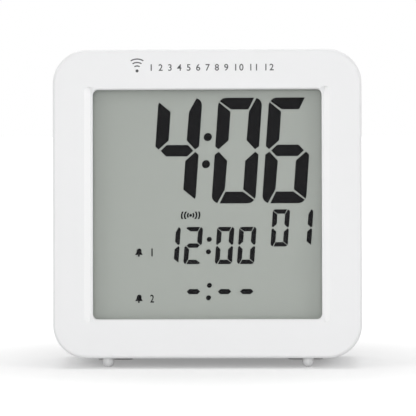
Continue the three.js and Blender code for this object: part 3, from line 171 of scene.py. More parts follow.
# Lamps: a broad key box in front, low enough to reach into the window, a smaller soft box
# at each side, and one above and behind that lays the shadow under the clock.
LAMP_AIM = Vector((0, 0, 0.04))
for name, spot, size, power in [
    ("left_box", (-0.95, -0.5, 0.35), (0.6, 0.8), 2.35),
    ("right_box", (0.95, -0.5, 0.35), (0.6, 0.8), 2.65),
    ("key_box", (0, -1.5, 0.22), (0.6, 0.4), 4.8),
    ("top_box", (0, 0.1, 1.2), (0.9, 0.9), 4.6),
]:
    box = bpy.data.lights.new(name, "AREA")
    box.shape = "RECTANGLE"
    box.size, box.size_y = size
    box.energy = power
    lamp = added(name, box)
    lamp.location = spot
    lamp.rotation_euler = (LAMP_AIM - Vector(spot)).to_track_quat("-Z", "Y").to_euler()

# Front case: the square face with its window, moulded in pearl-white plastic, with a satin
# skin. A soft edge runs round the face, a small round one round the window, and a sloping
# channel with round ends lies at each side of it. Screw bosses stand on its inner side.
BODY_DEPTH, CORNER_RADIUS, WALL = 36.0, 9.4, 1.8
FACE_THICKNESS, FACE_EDGE_RADIUS, FRONT_DEPTH = 2.2, 0.8, 12.0
FIT, BITE, PAST = 0.3, 0.4, 1.0
WINDOW_WIDTH, WINDOW_HEIGHT, WINDOW_CORNER = 63.1, 63.2, 1.5
WINDOW_EDGE, WINDOW_DROP = 0.45, 0.15
CHANNEL_WIDTH, CHANNEL_SLOPE, CHANNEL_DEPTH, CHANNEL_OVERHANG = 2.3, 1.65, 0.9, 0.75
LENS_RIB, SOCKET_WALL = 1.0, 1.2
BOSS_RADIUS, POST_RADIUS, PILOT_RADIUS = 2.8, 2.2, 1.3
CASE_SCREW_SEAT, CASE_SCREW_LENGTH = 20.0, 14.0
CORNER_STEPS, EDGE_STEPS = 20, 8
ROUND_STEPS, SMALL_STEPS, BROAD_STEPS, DISC_STEPS = 48, 24, 72, 96
CORNER_LEAST = 0.1
SMOOTH_ANGLE, SOFT_EDGE, FINE_EDGE = math.radians(24), 0.15, 0.06
RELIEF_STRENGTH, DRIFT, GRAIN_DETAIL, GLOSS_SPREAD = 0.5, (45, 3), 4, 0.1
CORNERS = ["top_left", "top_right", "bottom_left", "bottom_right"]
Room = namedtuple("Room", "low high mid size")


def measured(name):
    """A CAD node's corners, middle and size in the clock's own millimetres."""
    points = [into_clock @ vertex.co for vertex in nodes[name].data.vertices]
    low, high = [Vector([end(point[axis] for point in points) for axis in range(3)]) for end in (min, max)]
    return Room(low, high, (low + high) / 2, high - low)


def face_of(room, direction):
    """The middle of the side of a room that a direction leads to."""
    return room.mid + Vector([way * length / 2 for way, length in zip(direction, room.size)])


def outline(width, height, radius, y, x=0.0, z=0.0, grow=0.0):
    """Points of a rounded rectangle at depth y, counterclockwise seen from the front."""
    bend = max(radius + grow, CORNER_LEAST)
    points = []
    for quarter_turn, (side_x, side_z) in enumerate([(1, 1), (-1, 1), (-1, -1), (1, -1)]):
        for step in range(CORNER_STEPS + 1):
            angle = (quarter_turn + step / CORNER_STEPS) * math.pi / 2
            across = side_x * (width / 2 + grow - bend) + bend * math.cos(angle)
            up = side_z * (height / 2 + grow - bend) + bend * math.sin(angle)
            points.append(Vector((x + across, y, z + up)))
    return points


def quarter(radius, steps=EDGE_STEPS):
    """A quarter round: how far each of its steps lies inwards, and how far below the top."""
    angles = [math.pi / 2 * step / steps for step in range(steps + 1)]
    return [(radius * (1 - math.cos(angle)), radius * (1 - math.sin(angle))) for angle in angles]


def skin(rings, looped=False):
    """Vertices and faces over rings of equal length, capped, or joined last to first."""
    count, rows = len(rings[0]), len(rings)
    faces = []
    for row in range(rows if looped else rows - 1):
        here, there = row * count, (row + 1) % rows * count
        pairs = [(i, (i + 1) % count) for i in range(count)]
        faces += [(here + i, there + i, there + after, here + after) for i, after in pairs]
    if not looped:
        faces += [tuple(range(count)), tuple(reversed(range((rows - 1) * count, rows * count)))]
    return [point for ring in rings for point in ring], faces


def cleaned(mesh, apart=1e-5, flatten=False):
    """Merges a mesh's close points and turns its faces outwards."""
    shape = bmesh.new()
    shape.from_mesh(mesh)
    bmesh.ops.remove_doubles(shape, verts=shape.verts, dist=apart)
    if flatten:
        edges, verts = shape.edges, shape.verts
        bmesh.ops.dissolve_limit(shape, angle_limit=math.radians(1), verts=verts, edges=edges)
    bmesh.ops.recalc_face_normals(shape, faces=shape.faces)
    shape.to_mesh(mesh)
    shape.free()


def raw_mesh(name, verts, faces):
    mesh = bpy.data.meshes.new(name)
    mesh.from_pydata(verts, [], faces)
    cleaned(mesh)
    return added(name, mesh)


def hull(name, rings, looped=False):
    return raw_mesh(name, *skin(rings, looped))


def block(name, xs, ys, zs):
    corners = [Vector((x, y, z)) for x in xs for y in ys for z in zs]
    faces = [(0, 1, 3, 2), (4, 6, 7, 5), (0, 4, 5, 1), (2, 3, 7, 6), (0, 2, 6, 4), (1, 5, 7, 3)]
    return raw_mesh(name, corners, faces)


def about(centre, width):
    return centre - width / 2, centre + width / 2


def turned(name, profile, base, direction, steps=ROUND_STEPS, looped=False):
    """A round piece: its profile gives radius and height along the direction from base."""
    turn = UP.rotation_difference(direction)
    angles = [2 * math.pi * i / steps for i in range(steps)]
    rings = [
        [base + turn @ Vector((radius * math.cos(a), radius * math.sin(a), height)) for a in angles]
        for radius, height in profile
    ]
    return hull(name, rings, looped)


def rod_back(name, radius, x, z, y0, y1):
    return turned(name, [(radius, 0), (radius, y1 - y0)], Vector((x, y0, z)), BACKWARD)


def settle(made):
    """Applies a piece's modifiers to its mesh."""
    graph = bpy.context.evaluated_depsgraph_get()
    mesh = bpy.data.meshes.new_from_object(made.evaluated_get(graph))
    made.modifiers.clear()
    made.data = mesh
    return made


def carve(made, *tools, operation="DIFFERENCE"):
    """Cuts the tools out of a piece, or joins them to it, and removes them."""
    for tool in tools:
        cut = made.modifiers.new("cut", "BOOLEAN")
        cut.object = tool
        cut.operation = operation
        cut.solver = "MANIFOLD"
        settle(made)
        bpy.data.objects.remove(tool)
    return made


def fuse(made, *tools):
    return carve(made, *tools, operation="UNION")


def soften(made, width=SOFT_EDGE, segments=2):
    """Rounds a piece's sharp edges."""
    edge = made.modifiers.new("edge", "BEVEL")
    edge.width = width
    edge.segments = segments
    edge.limit_method = "ANGLE"
    edge.angle_limit = SMOOTH_ANGLE
    return settle(made)


def place(made, material, slot, *replaced, body="case"):
    """Turns a finished object into a piece of the clock, at its place and on its body."""
    made.data.polygons.foreach_set("use_smooth", [True] * len(made.data.polygons))
    made.data.set_sharp_from_angle(angle=SMOOTH_ANGLE)
    flats = made.modifiers.new("flats", "WEIGHTED_NORMAL")
    flats.keep_sharp = True
    settle(made)
    made.data.transform(CLOCK)
    made.data.materials.clear()
    made.data.materials.append(material)
    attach(made, body)
    if replaced:
        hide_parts(*replaced)
    return made


def noise(tree, scale, detail):
    """A noise texture that reads the piece's own coordinates."""
    where = node(tree, "ShaderNodeTexCoord", {}, "Object")
    return node(tree, "ShaderNodeTexNoise", {"Vector": where, "Scale": scale, "Detail": detail}, "Fac")


def spread(tree, source, low, high):
    """Brings a texture's value into the range from low to high."""
    return node(tree, "ShaderNodeMapRange", {"Value": source, "To Min": low, "To Max": high})


def tones(tree, source, first, last):
    """A colour that runs from first to last with a texture's value."""
    made = tree.nodes.new("ShaderNodeValToRGB")
    for element, colour in zip(made.color_ramp.elements, (first, last)):
        element.color = (*colour, 1)
    tree.links.new(source, made.inputs["Fac"])
    return made.outputs["Color"]


def shaded(colour, factor):
    return [min(1, channel * factor) for channel in colour]


def uneven(name, colours, drift, gloss, grain=None, depth=0.0, worn=False, inputs=None):
    """A material whose tone and gloss drift, with a finer grain in relief in its skin."""
    paint, tree, shader = new_paint(name, inputs or {})
    drifts = noise(tree, *drift)
    grit = noise(tree, *grain) if grain else drifts
    roughness = spread(tree, drifts if worn else grit, *gloss)
    wire(tree, shader, {"Base Color": tones(tree, drifts, *colours), "Roughness": roughness})
    if depth:
        relief = {"Height": grit, "Strength": RELIEF_STRENGTH, "Distance": depth}
        wire(tree, shader, {"Normal": node(tree, "ShaderNodeBump", relief)})
    return paint


def moulded_plastic(name, colour, roughness, grain, depth, tint=0.015, coat=0.0, specular=0.5):
    """Moulded plastic: a fine grain in the skin, faint drifts of tone, uneven gloss."""
    colours, gloss = [shaded(colour, 1 - tint), shaded(colour, 1 + tint)], about(roughness, GLOSS_SPREAD)
    inputs = {"Coat Weight": coat, "Specular IOR Level": specular}
    return uneven(name, colours, DRIFT, gloss, (grain, GRAIN_DETAIL), depth, inputs=inputs)


def body_ring(inset, y):
    return outline(CASE_WIDTH, CASE_WIDTH, CORNER_RADIUS, y, grow=-inset)


def window_ring(grow, y):
    return outline(WINDOW_WIDTH, WINDOW_HEIGHT, WINDOW_CORNER, y, 0, -WINDOW_DROP, grow)


pearl = moulded_plastic("pearl_plastic", (0.86, 0.862, 0.868), 0.42, 2600, 0.000012, coat=0.1)
# A glossier copy of the pearl for the channel slopes. Its colour is painted a little lighter, as painted
# light for the brighter light the slopes catch, on top of their real gloss and coat.
pearl_gloss_painted_light = moulded_plastic("pearl_gloss_painted_light", (0.885, 0.887, 0.89), 0.2, 2600, 0.000002, coat=1.0)
front_shell = hull("front_shell", [
    body_ring(0, FRONT_DEPTH),
    *[body_ring(*bend) for bend in quarter(FACE_EDGE_RADIUS)],
    *[window_ring(*bend) for bend in reversed(quarter(WINDOW_EDGE))],
    window_ring(0, FACE_THICKNESS),
    body_ring(WALL, FACE_THICKNESS),
    body_ring(WALL, FRONT_DEPTH),
], looped=True)
channel_edge = WINDOW_WIDTH / 2 + CHANNEL_WIDTH
channel_height = WINDOW_HEIGHT + 2 * CHANNEL_OVERHANG
open_width = CHANNEL_WIDTH + WINDOW_EDGE
for side in (-1, 1):
    size = open_width, channel_height, (open_width - FIT) / 2
    front = outline(*size, -PAST, side * (channel_edge - open_width / 2), -WINDOW_DROP)
    fall = CHANNEL_DEPTH / CHANNEL_SLOPE
    slope = [Vector((spot.x, (channel_edge - abs(spot.x)) * fall, spot.z)) for spot in front]
    deep = CHANNEL_DEPTH, CASE_WIDTH
    limit = block("limit", about(side * channel_edge, CASE_WIDTH / 2), deep, about(0, CASE_WIDTH))
    carve(front_shell, carve(hull("channel", [front, slope]), limit))

glass = measured("window_lens")
rib_back = measured("lcd_holder").low.y - FIT
room_x, room_z = [(glass.low[axis] - FIT, glass.high[axis] + FIT) for axis in (0, 2)]
wall_x, wall_z = [(low - LENS_RIB, high + LENS_RIB) for low, high in (room_x, room_z)]
rib = block("rib", wall_x, (FACE_THICKNESS - BITE, rib_back), wall_z)
fuse(front_shell, carve(rib, block("room", room_x, (FACE_THICKNESS - PAST, rib_back + PAST), room_z)))
main_board = measured("main_board")
for corner in CORNERS:
    pilot_front = measured(f"board_screw_{corner}").low.y - FIT
    for kind, radius, start, end in [
        ("case", BOSS_RADIUS, CASE_SCREW_SEAT - CASE_SCREW_LENGTH - PAST, FRONT_DEPTH),
        ("board", POST_RADIUS, pilot_front, main_board.low.y - FIT),
    ]:
        x, _, z = measured(f"{kind}_screw_{corner}").mid
        fuse(front_shell, rod_back("boss", radius, x, z, FACE_THICKNESS - BITE, end))
        carve(front_shell, rod_back("pilot", PILOT_RADIUS, x, z, start, end + PAST))
for side in ("left", "right"):
    pin = measured(f"foot_pin_{side}")
    bore, roof = pin.size.x / 2 + FIT, pin.high.z + FIT
    for wall, start, join in [(SOCKET_WALL, WALL - BITE, fuse), (0, -PAST, carve)]:
        base = Vector((pin.mid.x, pin.mid.y, start - CASE_WIDTH / 2))
        height = roof + wall - base.z
        join(front_shell, turned("socket", [(bore + wall, 0), (bore + wall, height)], base, UP))
soften(front_shell, FINE_EDGE, 1)
place(front_shell, pearl, "case_front", "front_case")
# The faces on the channel slopes take the glossier pearl that is painted lighter: painted light on the
# slopes.
front_shell.data.materials.append(pearl_gloss_painted_light)
for face in front_shell.data.polygons:
    spot = into_clock @ face.center
    beside_window = channel_edge - CHANNEL_SLOPE < abs(spot.x) < channel_edge
    sloping = FIT / 10 < spot.y < CHANNEL_DEPTH * 1.1
    if beside_window and sloping and abs(spot.z) < channel_height / 2:
        face.material_index = 1

# Front print: a row of plain numbers and a small mark of waves over a dot, pad-printed in
# grey ink on the face above the window.
PRINT_THICKNESS, PRINT_PROUD, PRINT_WEIGHT = 0.04, 0.02, 0.012
INK_COVER, INK_FADE, INK_GLOSS = (900, 2), 1.12, 0.12
LETTER_STEPS, LETTER_DEPTH = 5, 0.01
PRINT_X, PRINT_Z, PRINT_WIDTH, PRINT_HEIGHT, PRINT_SPACING = 1.48, 37.5, 33.85, 1.87, 1.25
MARK_X, MARK_Z, MARK_DOT = -19.2, 36.6, 0.42
MARK_LINE, MARK_STEP, MARK_SPAN = 0.32, 0.95, math.radians(64)


def disc(radius, x=0.0, z=0.0, steps=SMALL_STEPS):
    """Points of a circle, as a flat polygon of x and z."""
    angles = [2 * math.pi * i / steps for i in range(steps)]
    return [(x + radius * math.cos(angle), z + radius * math.sin(angle)) for angle in angles]


def arc_band(radius, line, middle, span, steps=16):
    """Points of a curved stroke about its centre."""
    points = []
    for reach, order in [(radius + line / 2, 1), (radius - line / 2, -1)]:
        sweep = [middle + span * (i / steps - 0.5) for i in range(steps + 1)][::order]
        points += [(reach * math.cos(angle), reach * math.sin(angle)) for angle in sweep]
    return points


def slab(polygon, y, x=0.0, z=0.0, slant=0.0):
    """A thin plate of ink with the polygon's outline."""
    front = [Vector((x + px + pz * slant, y, z + pz)) for px, pz in polygon]
    return skin([front, [point + BACKWARD * PRINT_THICKNESS for point in front]])


def gather(parts):
    """Joins lists of vertices and faces into one."""
    verts, faces = [], []
    for more_verts, more_faces in parts:
        base = len(verts)
        verts += more_verts
        faces += [tuple(base + i for i in face) for face in more_faces]
    return verts, faces


def lettering(text, centre, width, height, facing=FORWARD, spacing=1.0):
    """Flat printed characters, fitted to a width and height about their centre."""
    curve = bpy.data.curves.new("words", "FONT")
    curve.body = text
    curve.space_character = spacing
    curve.resolution_u = LETTER_STEPS
    curve.extrude = LETTER_DEPTH
    curve.offset = PRINT_WEIGHT
    maker = added("words", curve)
    mesh = bpy.data.meshes.new_from_object(maker.evaluated_get(bpy.context.evaluated_depsgraph_get()))
    bpy.data.objects.remove(maker)
    points = [vertex.co for vertex in mesh.vertices]
    low, high = [[end(point[axis] for point in points) for axis in range(2)] for end in (min, max)]
    verts = []
    for point in points:
        across, up = [(point[i] - low[i]) / (high[i] - low[i]) - 0.5 for i in range(2)]
        out = PRINT_PROUD if point.z > 0 else PRINT_PROUD - PRINT_THICKNESS
        verts.append(centre + UP.cross(facing) * across * width + UP * up * height + facing * out)
    return verts, [tuple(polygon.vertices) for polygon in mesh.polygons]


def print_ink(name, colour, roughness=0.55, specular=0.15):
    """Pad-printing ink: matt, a little uneven in cover."""
    colours, inputs = (colour, shaded(colour, INK_FADE)), {"Specular IOR Level": specular}
    return uneven(name, colours, INK_COVER, about(roughness, INK_GLOSS), inputs=inputs)


grey_ink = print_ink("grey_ink", (0.1, 0.1, 0.105))
numbers = " ".join(str(hour) for hour in range(1, 13))
print_middle = Vector((PRINT_X, 0, PRINT_Z))
printed = [lettering(numbers, print_middle, PRINT_WIDTH, PRINT_HEIGHT, spacing=PRINT_SPACING)]
printed.append(slab(disc(MARK_DOT), -PRINT_PROUD, MARK_X, MARK_Z))
for step in (1, 2, 3):
    wave = arc_band(MARK_DOT + step * MARK_STEP, MARK_LINE, math.pi / 2, MARK_SPAN)
    printed.append(slab(wave, -PRINT_PROUD, MARK_X, MARK_Z))
place(raw_mesh("face_numbers", *gather(printed)), grey_ink, "case_front")

# Display: a liquid-crystal cell between two films, on a grey-green reflector. Its dark
# segments show the time in large digits, two alarm rows and a date, with small marks.
SLANT = 0.07
LARGE_SIZE, LARGE_Z = (12.1, 29.2, 3.56), 14.75
LARGE_PLACES = [("4", -8.41), ("0", 8.15), ("6", 22.13)]
SMALL_SIZE, ALARM_Z, DATE_Z = (4.75, 10.25, 1.32), -11.46, -6.65
ALARM_PLACES = [("1", -10.1), ("2", -3.98), ("0", 4.69), ("0", 10.8)]
DATE_PLACES = [("0", 20.07), ("1", 26.5)]
DASH_Z, DASH_PLACES = -24.17, [-3.95, 4.66, 10.78]
DASH_WIDTH, DASH_HEIGHT = 3.7, 1.41
LARGE_COLON, SMALL_COLON = (-0.14, 7.5, 1.13), (0.35, 3.43, 0.68)
STROKE_UNITS, BAR_UNITS, BAR_BEND, BAR_BEND_STEPS = 12.85, 11.7, 8, 5
TOP_BEND, LEFT_BEND, RIGHT_BEND = (146, 90), (180, 154), (74, 0)
TOP_END, LEFT_MITRE, RIGHT_MITRE, MITRE_DROP = 8.2, 0.3, 0.4, 2.2
INNER_TIP, OUTER_TIP, TIP_LOW, LEFT_TIP, RIGHT_TIP = 10.2, 4.2, 1.2, 3.4, 3.9
MIDDLE_END, MIDDLE_OUT, MIDDLE_HALF = 5.5, 1.6, 5.7
LIT = {"0": "abcdef", "1": "bc", "2": "abged", "4": "fgbc", "6": "afgedc"}
WAVE_X, WAVE_Z, WAVE_WIDTH, WAVE_HEIGHT = -4.67, -3.11, 5.76, 2.05
WAVE_LINE, WAVE_SPAN, WAVE_PARTS, WAVE_DOT = 0.42, 1.6, 7, 0.9
BELL_X, BELL_HEIGHT, BELL_NUMBER_X = -18.95, 2.2, -15.35
BELL_RIM, BELL_SHOULDER, BELL_CROWN, BELL_STEPS = 0.48, 0.3, 0.2, 12
CLAPPER_SIZE, CLAPPER_FALL = 0.12, 0.42
BELL_ROWS = [("1", 0.34, -13.33), ("2", 1.05, -26.08)]
DISPLAY_GREY = (0.405, 0.433, 0.4)
FILM_GLOSS, FILM_FADE, FILM_MOTTLE = 0.06, 1.02, (30, 2)
segment_y = measured("lcd_front_polariser").low.y - PRINT_THICKNESS - PRINT_PROUD


def segments(width, height, stroke):
    """The seven bars of a digit about its middle, laid out in small units of its stroke."""
    unit = stroke / STROKE_UNITS
    side, top = width / 2 / unit, height / 2 / unit
    inner, under = side - STROKE_UNITS, top - BAR_UNITS

    def corner(start, end, flip):
        x, z = flip * (side - BAR_BEND), top - BAR_BEND
        sweep = [start + (end - start) * step / BAR_BEND_STEPS for step in range(BAR_BEND_STEPS + 1)]
        angles = [math.radians(angle) for angle in sweep]
        return [(x + BAR_BEND * math.cos(angle), z + BAR_BEND * math.sin(angle)) for angle in angles]

    bar_a = [*corner(*TOP_BEND, -1), (side - TOP_END, top)]
    bar_a += [(inner - LEFT_MITRE, under), (LEFT_MITRE - inner, under)]
    bar_f = [*corner(*LEFT_BEND, -1), (-inner, under - MITRE_DROP), (-inner, INNER_TIP)]
    bar_f += [(LEFT_TIP - side, TIP_LOW), (-side, OUTER_TIP)]
    bar_b = [*corner(*RIGHT_BEND, 1), (side, OUTER_TIP), (side - RIGHT_TIP, TIP_LOW)]
    bar_b += [(inner, INNER_TIP), (inner + RIGHT_MITRE, under - MITRE_DROP)]
    upper_g = [(MIDDLE_END - side, 0), (-inner - MIDDLE_OUT, MIDDLE_HALF), (inner + MIDDLE_OUT, MIDDLE_HALF)]
    bar_d, bar_e, bar_c, lower_g = [[(-x, -z) for x, z in bar] for bar in (bar_a, bar_b, bar_f, upper_g)]
    bars = bar_a, bar_b, bar_c, bar_d, bar_e, bar_f, upper_g + lower_g
    return {name: [(x * unit, z * unit) for x, z in bar] for name, bar in zip("abcdefg", bars)}


def segment(polygon, x, z):
    return slab(polygon, segment_y, x, z, SLANT)


def bell(height):
    """The outline of a small bell, and its clapper as a polygon of its own."""
    half_rim, shoulder, foot = height * BELL_RIM, height * BELL_SHOULDER, -height * BELL_SHOULDER
    angles = [math.pi * i / BELL_STEPS for i in range(BELL_STEPS + 1)]
    crown = [(shoulder * math.cos(a), height * BELL_CROWN + shoulder * math.sin(a)) for a in angles]
    rim = [(shoulder, 0), (half_rim, foot), (-half_rim, foot), (-shoulder, 0)]
    return crown[::-1] + rim, disc(height * CLAPPER_SIZE, 0, -height * CLAPPER_FALL)


lit = []
for size, z, places in [
    (LARGE_SIZE, LARGE_Z, LARGE_PLACES),
    (SMALL_SIZE, ALARM_Z, ALARM_PLACES),
    (SMALL_SIZE, DATE_Z, DATE_PLACES),
]:
    shapes = segments(*size)
    for digit, x in places:
        lit += [segment(shapes[name], x, z) for name in LIT[digit]]
half, tall = DASH_WIDTH / 2, DASH_HEIGHT / 2
dash = [(-half, 0), (tall - half, tall), (half - tall, tall)]
dash += [(-x, -z) for x, z in dash]
lit += [segment(dash, x, DASH_Z) for x in DASH_PLACES]
for (x, gap, radius), z in [(LARGE_COLON, LARGE_Z), (SMALL_COLON, ALARM_Z), (SMALL_COLON, DASH_Z)]:
    lit += [segment(disc(radius), x + shift * SLANT, z + shift) for shift in about(0, gap)]
for side in (math.pi, 0):
    for step in (1, 2, 3):
        stroke = arc_band(step * WAVE_WIDTH / WAVE_PARTS, WAVE_LINE, side, WAVE_SPAN)
        reach = [(x, max(-WAVE_HEIGHT / 2, min(WAVE_HEIGHT / 2, z))) for x, z in stroke]
        lit.append(segment(reach, WAVE_X, WAVE_Z))
lit.append(segment(disc(WAVE_LINE * WAVE_DOT), WAVE_X, WAVE_Z))
for number, number_width, z in BELL_ROWS:
    lit += [segment(polygon, BELL_X, z) for polygon in bell(BELL_HEIGHT)]
    lit.append(lettering(number, Vector((BELL_NUMBER_X, segment_y, z)), number_width, BELL_HEIGHT))
ink = print_ink("segment_black", (0.006, 0.006, 0.007), 0.6, 0.02)
place(raw_mesh("display_segments", *gather(lit)), ink, "polariser")


def display_film(paint_name, colour, roughness, *names, specular=0.3, alpha=1.0):
    """Film or glass with the faintest mottle, on CAD solids that stay in the scene."""
    inputs = {"Specular IOR Level": specular, "Alpha": alpha}
    gloss = roughness, roughness + FILM_GLOSS
    paint = uneven(paint_name, (colour, shaded(colour, FILM_FADE)), FILM_MOTTLE, gloss, inputs=inputs)
    for name in names:
        nodes[name].data.materials.clear()
        nodes[name].data.materials.append(paint)


display_film("window_clear", (0.27, 0.27, 0.27), 0.12, "window_lens", specular=0.2, alpha=0.015)
display_film("front_film", DISPLAY_GREY, 0.4, "lcd_front_polariser")
display_film("cell_glass", (0.42, 0.47, 0.44), 0.15, "lcd_front_glass", "lcd_rear_glass")
display_film("reflector_film", (0.36, 0.385, 0.35), 0.5, "lcd_reflector")

# Display holder, backlight and rubber contact strips: a moulded frame that carries the
# display, a milky light guide with a dotted back and its LED at the left end, and a striped
# rubber strip above and below that joins the display's glass to the main board.
HOLDER_EDGE, GUIDE_EDGE, SMALL_EDGE = 0.2, 0.25, 0.2
DOT_PITCH, DOT_RADIUS, DOT_HEIGHT, DOT_MARGIN, DOT_SIDES = 3.0, 0.55, 0.06, 3.0, 8
LED_DOME, LED_FOOT, LED_FLATTEN, LED_FLARE, LED_STEPS = 0.75, 0.1, 0.3, 0.02, 6
STRIPE_SCALE = 550


def softened(name, width=SOFT_EDGE, segments=2):
    """A copy of a CAD solid in the clock's millimetres, with its edges rounded."""
    mesh = nodes[name].data.copy()
    mesh.transform(into_clock)
    cleaned(mesh, 1e-4, flatten=True)
    return soften(added(name + "_dressed", mesh), width, segments)


def dressed(name, material, slot, width, segments=2):
    place(softened(name, width, segments), material, slot, name)


def new_tree(name, *sizes):
    """A Geometry Nodes tree with named inputs, the last of them its material."""
    tree = bpy.data.node_groups.new(name, "GeometryNodeTree")
    ports = tree.interface
    ports.new_socket(name="Geometry", in_out="OUTPUT", socket_type="NodeSocketGeometry")
    kinds = {"Seats": "Geometry", **{size: "Float" for size in sizes}, "Material": "Material"}
    for port, kind in kinds.items():
        ports.new_socket(name=port, in_out="INPUT", socket_type="NodeSocket" + kind)
    return tree, tree.nodes.new("NodeGroupInput").outputs


def grow(tree, kind, **wires):
    """A geometry node. An underscore in an input's name stands for a space."""
    wires = {socket.replace("_", " "): source for socket, source in wires.items()}
    return node(tree, "GeometryNode" + kind, wires)


def vector(tree, **sides):
    return node(tree, "ShaderNodeCombineXYZ", sides)


def laid(tree, shape, angle=math.pi / 2):
    """Turns a shape about X, from Z to Y."""
    return grow(tree, "Transform", Geometry=shape, Rotation=(angle, 0, 0))


def instances(tree, points, shape):
    return grow(tree, "InstanceOnPoints", Points=points, Instance=shape)


def close_tree(tree, given, geometry):
    real = grow(tree, "RealizeInstances", Geometry=geometry)
    painted = grow(tree, "SetMaterial", Geometry=real, Material=given["Material"])
    tree.links.new(painted, tree.nodes.new("NodeGroupOutput").inputs[0])
    return tree


def on_seats(tree, given, shape):
    return close_tree(tree, given, instances(tree, given["Seats"], shape))


def grown(name, tree, verts, edges=(), **sizes):
    """Runs a tree over seats or paths, and keeps its plain mesh."""
    mesh = bpy.data.meshes.new(name)
    mesh.from_pydata(verts, edges, [])
    made = added(name, mesh)
    growth = made.modifiers.new("growth", "NODES")
    growth.node_group = tree
    for item in tree.interface.items_tree:
        if item.in_out == "INPUT" and item.name in sizes:
            growth[item.identifier] = sizes[item.name]
    cleaned(settle(made).data)
    return made


def grid(x, z, y, columns, rows, across, down=0.0):
    """Seats in columns and rows from a first one, all at depth y."""
    return [(x + i * across, y, z + j * down) for i in range(columns) for j in range(rows)]


def round_seat_tree(name, sides):
    """A low round stud that stands along Y on every seat."""
    tree, given = new_tree(name, "Radius", "Height")
    size = {"Radius": given["Radius"], "Depth": given["Height"]}
    stud = grow(tree, "MeshCylinder", Vertices=sides, Fill_Segments=2, **size)
    return on_seats(tree, given, laid(tree, stud))


def translucent_plastic(name, colour, roughness):
    """Milky plastic that takes light into itself."""
    paint = moulded_plastic(name, colour, roughness, 1500, 0.000004)
    shader = paint.node_tree.nodes["Principled BSDF"]
    wire(paint.node_tree, shader, {"Subsurface Weight": 0.15, "Subsurface Scale": 0.002})
    return paint


inner_white = moulded_plastic("holder_plastic", (0.74, 0.745, 0.73), 0.5, 2200, 0.000008)
dressed("lcd_holder", inner_white, "inner_plastic", HOLDER_EDGE)
milky = translucent_plastic("light_guide_acrylic", (0.86, 0.88, 0.87), 0.25)
dressed("light_guide", milky, "clear_plastic", GUIDE_EDGE)
guide = measured("light_guide")
columns, rows = [int((guide.size[axis] - 2 * DOT_MARGIN) / DOT_PITCH) + 1 for axis in (0, 2)]
first = guide.low.x + DOT_MARGIN, guide.low.z + DOT_MARGIN
seats = grid(*first, guide.high.y, columns, rows, DOT_PITCH, DOT_PITCH)
dot_tree = round_seat_tree("printed_dots", DOT_SIDES)
dots = grown("light_guide_dots", dot_tree, seats, Radius=DOT_RADIUS, Height=DOT_HEIGHT)
place(dots, print_ink("dot_white", (0.88, 0.88, 0.88)), "clear_plastic")

room = measured("backlight_led")
bends = quarter(LED_DOME, LED_STEPS)
dome = [(LED_DOME - x + LED_FLARE, LED_FOOT + LED_FLATTEN * (LED_DOME - z)) for x, z in bends]
led = softened("backlight_led", SMALL_EDGE)
base = Vector((room.high.x - LED_FOOT, room.mid.y, 0))
fuse(led, turned("lens", [(LED_DOME, 0), *dome], base, RIGHT, SMALL_STEPS))
place(led, translucent_plastic("led_epoxy", (0.9, 0.84, 0.6), 0.2), "led", "backlight_led")

striped, tree, shader = new_paint("striped_rubber", {})
where = node(tree, "ShaderNodeTexCoord", {}, "Object")
bands = node(tree, "ShaderNodeTexWave", {"Vector": where, "Scale": STRIPE_SCALE}, "Fac", bands_direction="X")
layers = tones(tree, bands, (0.03, 0.03, 0.03), (0.62, 0.6, 0.6))
wire(tree, shader, {"Base Color": layers, "Roughness": spread(tree, bands, 0.55, 0.75)})
for end in ("top", "bottom"):
    dressed(f"zebra_strip_{end}", striped, "contact_rubber", SMALL_EDGE)

# Circuit boards: glass-fibre sheets in green solder mask. The main board lies behind the
# display, with a small receiver board on it; two more carry the snooze switch and the keys.
# Copper tracks show through the mask, and small parts and solder stand on them.
BOARD_EDGE, MOULD_EDGE, SHEET_EDGE, LEG_EDGE = 0.12, 0.1, 0.08, 0.05
TRACK_WIDTH, TRACK_THICKNESS, TRACK_PITCH = 0.45, 0.08, 1.25
FAN_REACH, FAN_START, FAN_END, FAN_MARGIN = 7, 0.72, 2.9, 4.2
FAN_FIRST, FAN_STAGGER, FAN_FALL, FAN_STEP, FAN_STUB = 8.2, 0.45, 0.42, 1.2, 0.6
PARTS_LEFT, PARTS_LEFT_PITCH = (-31.5, -4.5), (3.4, -2.6)
PARTS_RIGHT, PARTS_RIGHT_PITCH = (22, 4), (3.2, 2.6)
POINTS_LEFT, POINTS_RIGHT, POINTS_Z, POINTS_PITCH = -34, 29, -27, (3, -2.5)
PART_LENGTH, PART_WIDTH, PART_HEIGHT, PART_END, PART_WAIST = 1.25, 1.1, 0.6, 0.4, 0.9
PAD_PITCH, PAD_WIDTH, PAD_LENGTH, PAD_THICKNESS = 1.2, 0.7, 1.2, 0.08
RECEIVER_CHIP, CHIP_BASE, CHIP_TOP, CHIP_MARK, MARK_STEPS = (4.6, 3.6), 0.12, 1.3, 0.3, 16
CHIP_MARK_X, CHIP_MARK_Z, CHIP_MARK_DEPTH = 1.6, 1.1, 0.1
CHIP_LEG, CHIP_LEGS, CHIP_LEG_PITCH, CHIP_X, CHIP_Z = (0.32, 0.2, 1.0), 6, (0.75, 4.4), 2.5, 0.8
RECEIVER_IN, RECEIVER_TOP, RECEIVER_PITCH = 3, 2.4, 4
KEY_TRACK_IN, KEY_TRACK_TOP, KEY_TRACK_FALL, KEY_TRACK_LOW = 8, 2.2, 0.9, 11
KEY_TRACK_CUT, KEY_TRACK_END, KEY_TRACK_SHORT = 2, 6.5, 0.7
KEY_PARTS_X, KEY_PARTS_TOP, KEY_PARTS_PITCH = 20, 3, 2.7
SNOOZE_POINTS_X, SNOOZE_POINTS_Y = (6.2, 8.4), (-2.2, 2.2)
SOLDER_SIDES, SOLDER_TALL, SOLDER_LOW, SOLDER_EDGE = 12, (0.75, 1.1, 0.3), (0.6, 0.5), 0.15


